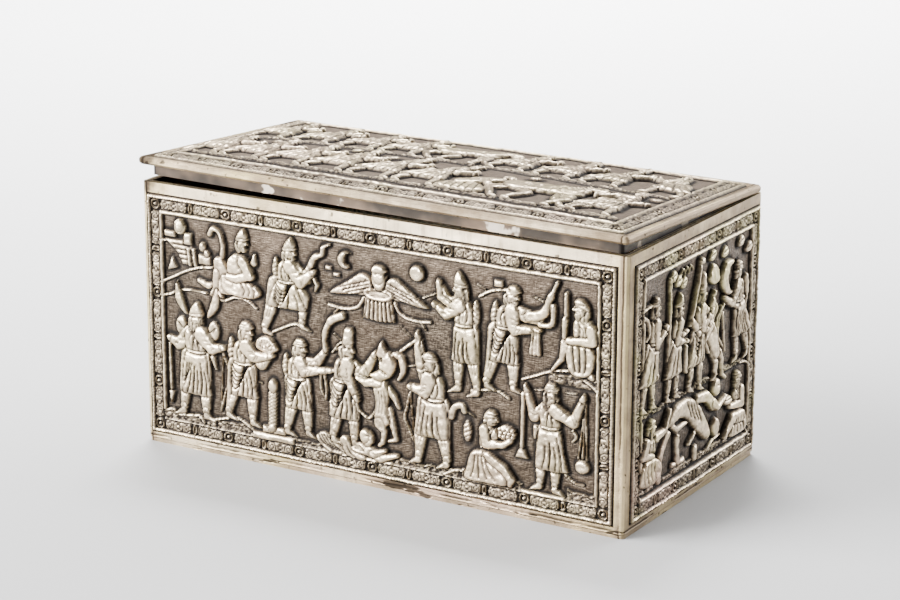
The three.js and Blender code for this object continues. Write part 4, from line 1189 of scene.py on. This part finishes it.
# %% The men with fruit and with scales
def fruit_bearer(sheet):
    """A kneeling man with fruit."""
    sheet.limb(smooth([(132, 32.5), (133, 36), (136, 37.3), (137, 35.5)]), 1.2, 0.9)
    sheet.oval((138.6, 28.5), 1.7, 4.0, 1.0)
    for i in range(4):
        sheet.line([(137.3, 26 + 1.7 * i), (139.9, 27.4 + 1.7 * i)], 0.2, 0.25, 0.5)
    giver = Man(sheet, (147, 11), 38, faces=1, hip=0.3)
    sheet.form([(141, 22), (149, 22), (154, 16), (155, 11.5), (147, 10.8), (138, 11.2), (138.5, 16)], 1.3)
    sheet.limb([(147, 21), (153.5, 17.5), (156.5, 14), (156, 12)], [1.6, 1.8, 1.5, 1.0], 1.5)
    sheet.folds(4, [(142, 20.5, 1.3), (141.5, 16, 2), (140.5, 12.4, 3.2)], 0.26, 0.28, 0.55)
    sheet.oval((154.3, 30.6), 3.6, 2.9, 1.3)
    for i in range(12):
        sheet.oval((151.8 + 1.7 * (i % 4) + 0.5 * (i // 4 % 2), 29.3 + 1.3 * (i // 4)),
                   0.75, 0.65, 1.55, edge=0.6, gap=0.3, dark=0.6)
    giver.torso()
    giver.head("hair", beard=False)
    sheet.limb([(145.5, 30.5), (146.5, 25.5), (153, 26), (156, 28)], [2.0, 1.8, 1.3, 1.0], 1.7)


def scales_holder(sheet):
    """A man, seen from the front, with scales."""
    rod(sheet, (160.6, 46), (160.2, 26), 0.75, 0.9)
    sheet.form([(157.8, 22.6), (163, 22.6), (161.6, 25.8), (159, 25.8)], 1.1, closed_curve=False)
    for i in range(3):
        sheet.ridge([(184.8, 47.5), (182.2 + 1.7 * i, 26)], 0.35, 0.7, 0.5)
    sheet.oval((184, 23.6), 2.8, 2.5, 1.2)
    man(sheet, (171.5, 11), 43, [(184, 48), (162, 48)], [(177.5, 11.4), (163.5, 12)], hat="band",
        swags=False, pleats=4, hem=(166, 178.4, 20.3), front=True, elbows=((180.4, 38.8), (165, 38.6)),
        lean=0.0, slim=0.9)
    sheet.limb([(165.6, 34.5), (165.4, 31)], [1.1, 0.6], 0.9)
    sheet.cord([(180, 36), (181.5, 34), (180, 32)], 0.5, 0.8)
    sheet.cord([(177.5, 19.5), (181, 17.2), (184.5, 17)], 0.45, 0.7)


# %% The whole front
FRONT_PEOPLE = (harper, trumpeter, guard, bowl_bearer, horn_player, king, rearing_beast, swordsman, servants,
                blade_holder, fruit_bearer, scales_holder)


def front_scene(sheet, dice):
    front_ground(sheet, dice)
    for draw in FRONT_PEOPLE:
        draw(sheet)


print("groups on the front:", len(FRONT_PEOPLE))


# %% [markdown]
# ## The other scenes
# On the right end four men with staffs stand above, the third crowned with a beast beside him. Below, an
# arched beast and a figure over it stand between two kneeling men. The lid carries two ranks of walking
# men, two led beasts and a kneeling man. The hidden sides are quieter work in the same hand.

# %% The right end's upper row
def right_ground(sheet, dice):
    boulders(sheet, 10, 96, 12.2, 14.5, dice)
    boulders(sheet, 11, 92, 39.5, 41.5, dice)
    for u, v in ((32.5, 85.5), (36.5, 83), (40.5, 81.5), (63, 86), (73, 85), (86, 86), (92.5, 82.5)):
        sheet.oval((u, v), 2.6, 1.9, 1.0, turn=0.5)
        sheet.line([(u - 1.4, v), (u + 1.4, v + 0.8)], 0.22, 0.25, 0.6)
    for i in range(3):
        sheet.cord([(38 + 3 * i, 84), (40 + 3 * i, 86.5), (42 + 3 * i, 84.5)], 0.4, 0.6)
    hill(sheet, [(88, 40), (93, 39), (97, 36.5)])
    sheet.form([(60, 78), (63, 83), (67.5, 80.5), (68.5, 76), (64, 75)], 1.1)
    rod(sheet, (10, 78.5), (16, 79.5), 0.5)


def staff_bearers(sheet):
    """The two men on the left of the upper row."""
    walker(sheet, (18, 41), 43, [(0.19, 0.65), (0.17, 0.6)], [(0.09, 0.01), (-0.08, 0.01)],
           hat="band", slim=0.74, swags=False, pleats=3)
    sheet.limb(smooth([(11, 76), (14, 74), (14.5, 70), (12.5, 68)]), 0.9, 1.0)
    rod(sheet, (29.5, 43), (30, 85), 0.75, 1.1)
    walker(sheet, (36, 40), 39, [(0.16, 0.52), (0.17, 0.6)], [(0.09, 0.01), (-0.08, 0.01)], slim=0.74,
           swags=False, pleats=3)
    sheet.limb([(43.2, 58), (43.6, 49)], [0.8, 1.3], 1.1)
    rod(sheet, (46, 65), (53.5, 86), 0.95, 1.3)
    sheet.oval((54, 86.4), 1.6, 1.3, 1.4)


def crowned_man(sheet):
    """The third man and the beast that rears beside him."""
    sheet.cord([(73, 50), (68.5, 55), (67.5, 61), (71, 65.5)], 0.6, 0.9)
    sheet.limb([(64, 52), (67, 46), (66.5, 41.5), (64.5, 40)], [2.4, 1.5, 1.1, 0.8], 1.3)
    sheet.limb([(67, 52), (72, 46), (72.5, 40), (75.5, 38)], [2.0, 1.3, 1.0, 0.8], 1.2)
    sheet.limb([(59.5, 62.5), (63, 57), (67, 50)], [3.2, 3.6, 2.8], 1.5, edge=2.2)
    sheet.limb([(61, 63), (64.5, 66.5), (63.5, 69)], [2.4, 2.0, 1.4], 1.55)
    sheet.limb([(62, 60), (57, 56), (61, 51)], [1.2, 1.0, 0.7], 1.3)
    walker(sheet, (53.5, 39), 41, [(0.2, 0.66), (0.26, 0.8)], [(0.12, -0.02), (-0.08, 0.01)],
           hat="crown", slim=0.8)
    sheet.limb([(50, 63), (47, 66)], [1.6, 1.2], 1.5)


def last_man(sheet):
    """The man at the right, who faces the others with a curved bow."""
    sheet.limb(smooth([(79, 80.5), (74, 79.5), (72.5, 74), (76, 69.5), (80, 69)]),
               [0.5, 0.8, 1.2, 1.5, 1.7, 1.9, 2.1, 2.3, 2.4, 2.4, 2.3, 2.2, 2.0, 1.8, 1.5, 1.2, 1.0, 0.8,
                0.6, 0.5, 0.4], 1.3)
    sheet.cord([(69, 49), (68, 55), (69.5, 62), (73, 66)], 0.6, 0.9)
    rod(sheet, (72, 63), (74.5, 48), 0.6, 0.9)
    walker(sheet, (85, 41), 41, [(0.3, 0.66), (0.22, 0.6)], [(0.12, 0.01), (-0.1, 0.0)],
           faces=-1, hat="hair", pleats=6, swags=False, slim=0.78)
    sheet.limb([(90.5, 72), (91.5, 66), (90, 61)], [1.3, 1.1, 0.7], 1.2)


# %% The right end's lower row
def kneeler_with_raised_arm(sheet):
    sheet.limb(smooth([(24.5, 14), (25, 22), (29, 27.5), (31, 29)]), 1.6, 0.9)
    kneeler = Man(sheet, (16.5, 13), 36, faces=1, hip=0.3)
    sheet.form([(10.5, 15.5), (11, 22), (17, 24.5), (24, 22), (25, 17), (20, 14.6)], 1.35)
    sheet.folds(4, [(12.5, 22.5, 2.4), (12, 19, 2.7), (12.5, 16, 2.9)], 0.25, 0.26, 0.5)
    kneeler.torso()
    kneeler.head("hair")
    sheet.limb([(21, 31), (27, 32), (31, 38)], [1.9, 1.4, 1.0], 1.6)
    sheet.limb([(13.5, 31), (11.5, 26.5), (18, 25)], [1.9, 1.6, 1.1], 1.7)


def arched_beast(sheet):
    """A long arched beast, with a figure that leans over it."""
    block(sheet, (39, 16.4), 10, 2)
    rod(sheet, (38.5, 17), (37.5, 26.5), 1.3, 1.2)
    sheet.limb([(47, 21), (52, 24.5)], [0.9, 1.1], 1.1)
    block(sheet, (52.5, 16), 2.6, 6, 1.1)
    sheet.oval((68.5, 21), 2.7, 3.6, 1.3)
    sheet.limb([(33, 32), (37, 29), (45, 29.5)], [1.2, 1.3, 0.8], 1.0)
    sheet.limb(smooth([(31, 33), (38, 35.8), (47, 34), (54, 28), (61, 21)]),
               [1.6, 2.0, 2.3, 2.6, 2.8, 3.0, 3.2, 3.4, 3.6, 3.8, 4.0, 4.1, 4.2, 4.3, 4.2, 4.0, 3.8, 3.5,
                3.2, 2.9, 2.4], 1.45, edge=2.4)
    for i in range(4):
        sheet.line([(44 + 2.6 * i, 37 - 1.0 * i), (47.5 + 2.6 * i, 31 - 1.2 * i)], 0.3, 0.35, 0.65)
    sheet.limb([(53, 36), (60, 35), (66, 30)], [1.8, 2.2, 2.2], 1.4)
    sheet.oval((67.5, 36.4), 2.9, 3.4, 1.6)
    sheet.line([(68, 37), (69.2, 36.8)], 0.24, 0.25, 0.7)
    sheet.limb([(66, 31), (69, 28.3), (75.5, 30.8)], [1.9, 1.4, 1.0], 1.5)
    hill(sheet, [(62, 14), (67, 16.4), (73, 17)])


def kneeler_with_bowl(sheet):
    giver = Man(sheet, (86.5, 13), 36, faces=-1, hip=0.28)
    sheet.form([(80, 14), (84, 20), (90, 22), (94, 18), (93, 13.6), (86, 13)], 1.35)
    sheet.limb([(90, 19.5), (82, 20.5), (76, 15)], [2.4, 2.2, 1.3], 1.5)
    sheet.folds(4, [(84, 19.5, 2.2), (83, 17, 2.6), (83, 14.6, 2.8)], 0.25, 0.26, 0.5)
    sheet.oval((78.2, 28.3), 3.4, 1.7, 1.4)
    sheet.line([(75.5, 28.8), (81, 28.8)], 0.25, 0.3, 0.6)
    giver.torso()
    giver.head("hair")
    sheet.limb([(88.5, 30), (89, 24.5), (79.5, 25.8)], [2.0, 1.8, 1.2], 1.7)


# %% The whole right end
RIGHT_PEOPLE = (staff_bearers, crowned_man, last_man, kneeler_with_raised_arm, arched_beast,
                kneeler_with_bowl)


def right_scene(sheet, dice):
    right_ground(sheet, dice)
    for draw in RIGHT_PEOPLE:
        draw(sheet)


print("groups on the right end:", len(RIGHT_PEOPLE))


# %% The lid's two ranks
def lid_scene(sheet, dice):
    front_rank, back_rank = 18.5, 57.5
    boulders(sheet, 12, 188, 16.5, 18.2, dice)
    boulders(sheet, 12, 188, 55.5, 57, dice)
    for u in (18, 38, 58, 76):
        walker(sheet, (u, back_rank), 35, [(0.27, 0.66), (0.3, 0.56)], [(0.2, 0.01), (-0.17, 0.01)],
            hat=("cap", "band")[u // 19 % 2], quiver=u % 4 == 2, swags=False, slim=0.74)
    beast(sheet, (98, back_rank), 30, [(0.46, 0.1), (0.26, 0.02), (-0.34, 0.02), (-0.18, 0.03)],
          rear=0.2, neck=0.5, mane=False)
    for i, u in enumerate((122, 141, 160, 180)):
        walker(sheet, (u, back_rank), 35, [(0.27, 0.62), (0.25, 0.7)], [(0.19, 0.01), (-0.17, 0.01)],
            faces=-1 if i == 3 else 1, hat=("band", "cap", "crown", "band")[i], swags=False, slim=0.74)
    porters = {88: 0.13, 107: 0.17}
    for i, u in enumerate((15, 33, 51, 69, 88, 107)):
        walker(sheet, (u, front_rank), 37, [(0.31, 0.6), (0.29, 0.68)], [(0.2, 0.01), (-0.18, 0.01)],
            lean=porters.get(u, 0.03), hat=("band", "cap", "band", "cap", "band", "hair")[i],
            swags=False, slim=0.74)
    sheet.form([(114, 19), (117, 27), (124, 29.5), (131, 26), (131.5, 20), (123, 18.4)], 1.4, edge=2.0)
    sheet.folds(5, [(118, 27.5, 2.4), (117.5, 23, 2.8), (118, 19.5, 2.9)], 0.3, 0.35, 0.6)
    sheet.limb([(120, 28), (126, 34), (131, 37)], [2.6, 3.2, 2.2], 1.6)
    sheet.oval((132.5, 41), 2.6, 3.0, 1.7)
    sheet.limb([(126, 34), (131, 30), (137, 33)], [1.8, 1.4, 1.0], 1.7)
    beast(sheet, (149, front_rank), 36, [(0.42, 0.05), (0.24, 0.02), (-0.34, 0.02), (-0.2, 0.03)],
          rear=0.15, neck=0.8)
    sheet.ridge([(165, 22), (170, 39), (173, 27), (165, 22)], 0.5, 0.9)
    walker(sheet, (178, front_rank), 37, [(-0.28, 0.6), (0.24, 0.6)], [(0.17, 0.01), (-0.2, 0.01)], hat="cap",
        swags=False, slim=0.8)
    for u, v in ((28, 50), (62, 52), (80, 48), (138, 50), (165, 50), (186, 50), (112, 52)):
        sheet.oval((u, v), 2.4, 1.5, 0.9, turn=0.4)
    print("the lid's ranks stand at", front_rank, "and", back_rank, "mm")


# %% The quieter hidden sides
def cypress(sheet, at, high):
    u, v = at
    rod(sheet, (u, v), (u, v + high * 0.22), 0.8)
    shares = [(0, 0.15), (0.12, 0.35), (0.09, 0.7), (0, 1), (-0.09, 0.7), (-0.12, 0.35)]
    sheet.form([(u + du * high, v + dv * high) for du, dv in shares], 1.3, edge=2.4)
    for i in range(6):
        y = v + high * (0.26 + 0.11 * i)
        for side in (-1, 1):
            sheet.line([(u, y + high * 0.06), (u + side * high * (0.08 - 0.008 * i), y)], 0.25, 0.25, 0.5)


def back_scene(sheet, dice):
    boulders(sheet, 10, 190, 14, 16, dice)
    for i in range(5):
        u = 26 + 37 * i
        walker(sheet, (u, 16), 58, [(0.26, 0.65), (0.25, 0.7)], [(0.14, 0.01), (-0.12, 0.01)],
            hat=("cap", "band")[i % 2], pleats=6)
        sheet.oval((u + 16, 55), 3.4, 3.4, 1.4)
        if i < 4:
            cypress(sheet, (u + 20, 16), 30)
    print("five men and four cypresses on the back")


def left_scene(sheet, dice):
    boulders(sheet, 10, 94, 14, 16, dice)
    for side in (-1, 1):
        rod(sheet, (52 + side * 11, 17), (52 + side * 11, 78), 0.8)
        walker(sheet, (52 + side * 25, 16), 58, [(0.24, 0.62), (0.2, 0.5)], [(0.14, 0.01), (-0.12, 0.01)],
            faces=-side, pleats=6)
    cypress(sheet, (52, 16), 52)
    print("two guards and a cypress on the left end")


# %% [markdown]
# ## Making the sheet a solid
# A grid primitive takes the heights point by point, its rim is extruded backwards, and the back is filled,
# so that the sheet is one closed mesh. The three values that the finish reads go in as attributes.

# %% Wear, painted shade and unevenness
SETBACK = 0.2
SHEET_THICKNESS = 1.0
RELIEF = 1.36
HIGHEST = 2.27
DEEPEST = -0.35
RIPPLE = 0.02
GRAIN = 0.06


def soften(values, cells):
    """Averages each value with its neighbours."""
    kernel = np.hanning(2 * cells + 3)[1:-1]
    kernel /= kernel.sum()
    for axis in (0, 1):
        margin = [(cells, cells) if a == axis else (0, 0) for a in (0, 1)]
        padded = np.pad(values, margin, mode="edge")
        values = np.lib.stride_tricks.sliding_window_view(padded, 2 * cells + 1, axis=axis) @ kernel
    return values


def settle(sheet, dice, tall=1.0):
    """Hollows darken with dirt and with painted shade, steep flanks get painted shade, crests are worn
    bright, and hand work is uneven; tall scales the relief.
    """
    pitch = sheet.us[1] - sheet.us[0]
    # Painted shade: each place darkens by how far it lies below its blurred surroundings, which stands in for
    # occlusion as well as the patina in the hollows.
    for reach, share in ((1.0, 1.1), (2.6, 0.75), (5.0, 0.5)):
        hollow = soften(sheet.height, round(reach / pitch)) - sheet.height
        sheet.tarnish += share * np.clip(hollow, 0.0, 0.9)
    sheet.tarnish = np.clip(sheet.tarnish, 0.0, 1.0)
    # Painted shade: steep flanks lose polish and so read as shaded, while crests and high parts are worn
    # brighter.
    crest = sheet.height - soften(sheet.height, round(1.0 / pitch))
    slope = np.hypot(*np.gradient(sheet.height, pitch))
    sheet.polish = np.clip(0.2 + 1.4 * crest + 0.3 * sheet.height - 0.22 * np.clip(slope, 0.0, 2.0), 0.0, 1.0)
    u, v = np.meshgrid(sheet.us, sheet.vs)
    for _ in range(10):
        angle = dice.uniform(0, math.pi)
        wave = dice.uniform(7, 24)
        phase = dice.uniform(0, 6.28)
        sheet.height += RIPPLE * np.sin((u * math.cos(angle) + v * math.sin(angle)) * 6.28 / wave + phase)
    grain = soften(dice.normal(0, 1, sheet.height.shape), round(0.9 / pitch))
    sheet.height += GRAIN * grain / grain.std() * np.clip(sheet.height - 0.1, 0.15, 1.0)
    left, right, low, high = sheet.edges
    rim = np.minimum.reduce([u - left, right - u, v - low, high - v])
    sheet.height *= np.clip(rim / 0.5, 0.0, 1.0)
    sheet.height = np.clip(sheet.height * RELIEF * tall, DEEPEST, HIGHEST)


print("relief is at most", HIGHEST, "mm and at the deepest", DEEPEST, "mm")


# %% From heights to a mesh
def sheet_object(name, sheet, to_world):
    """The sheet as a closed mesh; to_world takes places and heights in millimetres."""
    bpy.ops.object.select_all(action="DESELECT")
    bpy.ops.mesh.primitive_grid_add(x_subdivisions=sheet.columns, y_subdivisions=sheet.rows, size=2.0)
    piece = bpy.context.object
    piece.name = name
    mesh = piece.data
    count = len(mesh.vertices)
    flat = np.empty(count * 3)
    mesh.vertices.foreach_get("co", flat)
    flat = flat.reshape(-1, 3)
    i = np.rint((flat[:, 0] + 1.0) / 2.0 * sheet.columns).astype(int)
    j = np.rint((flat[:, 1] + 1.0) / 2.0 * sheet.rows).astype(int)
    height = sheet.height[j, i]
    mesh.vertices.foreach_set("co", to_world(sheet.us[i], sheet.vs[j], height).ravel())
    bpy.ops.object.mode_set(mode="EDIT")
    bpy.ops.mesh.select_mode(type="EDGE")
    bpy.ops.mesh.select_all(action="DESELECT")
    bpy.ops.mesh.select_non_manifold()
    bpy.ops.mesh.extrude_region_move()
    bpy.ops.object.mode_set(mode="OBJECT")
    total = len(mesh.vertices)
    points = np.empty(total * 3)
    mesh.vertices.foreach_get("co", points)
    points = points.reshape(-1, 3)
    on_rim = (i == 0) | (i == sheet.columns) | (j == 0) | (j == sheet.rows)
    lookup = {tuple(np.round(points[k], 7)): k for k in np.flatnonzero(on_rim)}
    source = np.array([lookup[tuple(np.round(points[k], 7))] for k in range(count, total)])
    points[count:] = to_world(sheet.us[i[source]], sheet.vs[j[source]], height[source] - SHEET_THICKNESS)
    mesh.vertices.foreach_set("co", points.ravel())
    bpy.ops.object.mode_set(mode="EDIT")
    bpy.ops.mesh.edge_face_add()
    bpy.ops.mesh.select_all(action="SELECT")
    bpy.ops.mesh.normals_make_consistent(inside=False)
    bpy.ops.object.mode_set(mode="OBJECT")
    tarnish = np.concatenate([sheet.tarnish[j, i], np.full(total - count, 0.8)])
    raised = np.concatenate([np.clip((height - 0.2) / 0.9, 0.0, 1.0), np.zeros(total - count)])
    polish = np.concatenate([sheet.polish[j, i], np.zeros(total - count)])
    for label, values in (("tarnish", tarnish), ("raised", raised), ("polish", polish)):
        layer = mesh.attributes.new(label, "FLOAT", "POINT")
        layer.data.foreach_set("value", values.astype(np.float32))
    bpy.ops.object.shade_smooth_by_angle(angle=math.radians(70))
    print(name, "has", len(mesh.polygons), "faces")
    return piece


# %% [markdown]
# ## The four sides
# Each side is drawn flat and then stood up against its wall. The sides in the photograph have a finer grid
# than the hidden ones.

# %% Stand the sides up
LENGTH, DEPTH = 200.0, 104.0


def onto_side(index):
    """Takes places on a side's drawing to the world, for the front, right, back and left in turn."""
    width, out = ((LENGTH, DEPTH / 2), (DEPTH, LENGTH / 2))[index % 2]
    angle = index * math.pi / 2
    cos, sin = round(math.cos(angle)), round(math.sin(angle))

    def to_world(u, v, height):
        x, y = u - width / 2, -out - (height - SETBACK)
        return np.stack([x * cos - y * sin, x * sin + y * cos, v], axis=-1) * MM

    return to_world


def panel_edges(node, index):
    """The edges of a side's panel on its drawing, from the construction."""
    low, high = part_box(node)
    axis = index % 2
    half = (LENGTH, DEPTH)[axis] / 2
    a, b = low[axis] / MM, high[axis] / MM
    left, right = (a + half, b + half) if index < 2 else (half - b, half - a)
    return left, right, low[2] / MM, high[2] / MM


# %% The four sides
def side(name, index, scene, pitch, seed, finish):
    sheet = Sheet(*panel_edges(name, index), pitch)
    dice = np.random.default_rng(seed)
    border(sheet, dice)
    scene(sheet, dice)
    settle(sheet, dice)
    piece = sheet_object(name + "_chased", sheet, onto_side(index))
    piece.data.materials.append(finishes[finish])
    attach(piece, "root")
    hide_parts(name)


FINE, PLAINER = 0.43, 0.6
side("front_panel", 0, front_scene, FINE, 1, "side")
side("right_panel", 1, right_scene, FINE, 2, "end")
side("back_panel", 2, back_scene, PLAINER, 3, "side")
side("left_panel", 3, left_scene, PLAINER, 4, "end")

# %% [markdown]
# ## The lid's sheet
# The lid's sheet rises from its rim in a slight dome. The lid lies a little forward and tipped up along
# the front, most at the left, as in the photograph, so its sheet takes the same tilt.

# %% The domed sheet of the lid
LID_LENGTH, LID_DEPTH = 200.8, 104.8
LID_HALF_LENGTH, LID_HALF_DEPTH = 96.5, 48.5
LID_PITCH = 0.45
LID_LOW = 100.0 + 2.2
RIM_SLOPE, RIM_REACH = 1.3, 7.1
DOME = 1.9
LID_GAP, FRONT_LIFT, LEFT_LIFT, LID_FORWARD = 0.3, 4.151, 2.3, 1.6


def onto_lid(u, v, height):
    x, y = u - LID_LENGTH / 2, v - LID_DEPTH / 2
    inward = np.minimum(LID_HALF_LENGTH - np.abs(x), LID_HALF_DEPTH - np.abs(y))
    slope = RIM_SLOPE * np.clip(inward / RIM_REACH, 0.0, 1.0)
    dome = DOME * (1 - (x / LID_HALF_LENGTH) ** 2) * (1 - (y / LID_HALF_DEPTH) ** 2)
    forward = (LID_DEPTH / 2 - y) / LID_DEPTH
    left = (LID_LENGTH / 2 - x) / LID_LENGTH
    lift = LID_GAP + forward * (FRONT_LIFT + LEFT_LIFT * left)
    return np.stack([x, y - LID_FORWARD, LID_LOW + slope + dome + height + lift], axis=-1) * MM


def lid_sheet():
    sheet = Sheet(LID_LENGTH / 2 - LID_HALF_LENGTH, LID_LENGTH / 2 + LID_HALF_LENGTH,
                  LID_DEPTH / 2 - LID_HALF_DEPTH, LID_DEPTH / 2 + LID_HALF_DEPTH, LID_PITCH)
    dice = np.random.default_rng(5)
    border(sheet, dice)
    lid_scene(sheet, dice)
    settle(sheet, dice, tall=0.86)
    piece = sheet_object("lid_panel_chased", sheet, onto_lid)
    piece.data.materials.append(finishes["lid"])
    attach(piece, "root")
    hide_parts("lid_panel")


lid_sheet()

# %% [markdown]
# ## The plain pieces
# The walls, base, lid rim and strip keep their construction and take their finishes.

# %% Finishes on the construction
def dress(node, finish, slot):
    """Gives a piece of the construction its finish."""
    for material_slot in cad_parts[node].material_slots:
        material_slot.material = finishes[finish]
    print(node, "takes", finish, "in slot", slot)


dress("case", "plain", "plain_silver")
dress("base_plate", "base", "base_silver")
dress("lid_rim", "rim", "plain_silver")
dress("lid_flange", "tarnished", "tarnished_silver")

# %% [markdown]
# ## Floor and light
# The floor is pale. Five softboxes light it: the key from the upper left, a low one in front, one above,
# one behind the right end and one over the floor at the back. A dim pale surrounding fills the rest.

# %% Studio
bpy.ops.object.select_all(action="DESELECT")
bpy.ops.mesh.primitive_plane_add(size=6.0, location=(0.0, 0.0, 0.0))
floor = bpy.context.object
floor.name = "floor"
pale = Shader("pale_floor")
grey = pale.mix(pale.noise(3.0, 2.0), (0.36, 0.36, 0.362), (0.38, 0.38, 0.382))
floor.data.materials.append(pale.finish({"Base Color": grey, "Roughness": 0.85}))


def softbox(name, place, aim, size, power, spread=180.0):
    light = bpy.data.lights.new(name, "AREA")
    light.shape = "RECTANGLE"
    light.size, light.size_y = size
    light.energy = power
    light.spread = math.radians(spread)
    box = bpy.data.objects.new(name, light)
    bpy.context.scene.collection.objects.link(box)
    box.location = place
    away = np.array(place) - np.array(aim)
    flat = math.hypot(away[0], away[1])
    box.rotation_euler = (math.atan2(flat, away[2]), 0.0, math.atan2(away[1], away[0]) + math.pi / 2)
    print(name, "of", power, "watts")


CASKET = (0.0, 0.0, 0.05)
softbox("key_light", (-2.0, -1.6, 1.3), CASKET, (2.2, 1.7), 460.0)
softbox("low_light", (-1.3, -2.3, 0.7), CASKET, (1.6, 1.0), 150.0)
softbox("top_light", (-0.3, 1.2, 1.9), (0.0, 0.3, 0.0), (2.2, 1.2), 80.0)
softbox("end_light", (1.3, 2.0, 0.7), CASKET, (1.6, 1.0), 110.0)
softbox("backdrop_light", (-0.5, 1.1, 1.5), (-0.5, 1.1, 0.0), (1.4, 0.7), 110.0, 75.0)
world = bpy.data.worlds.new("studio")
bpy.context.scene.world = world
world.use_nodes = True
surrounding = world.node_tree.nodes["Background"].inputs
surrounding["Color"].default_value = (0.92, 0.92, 0.93, 1.0)
surrounding["Strength"].default_value = 0.15
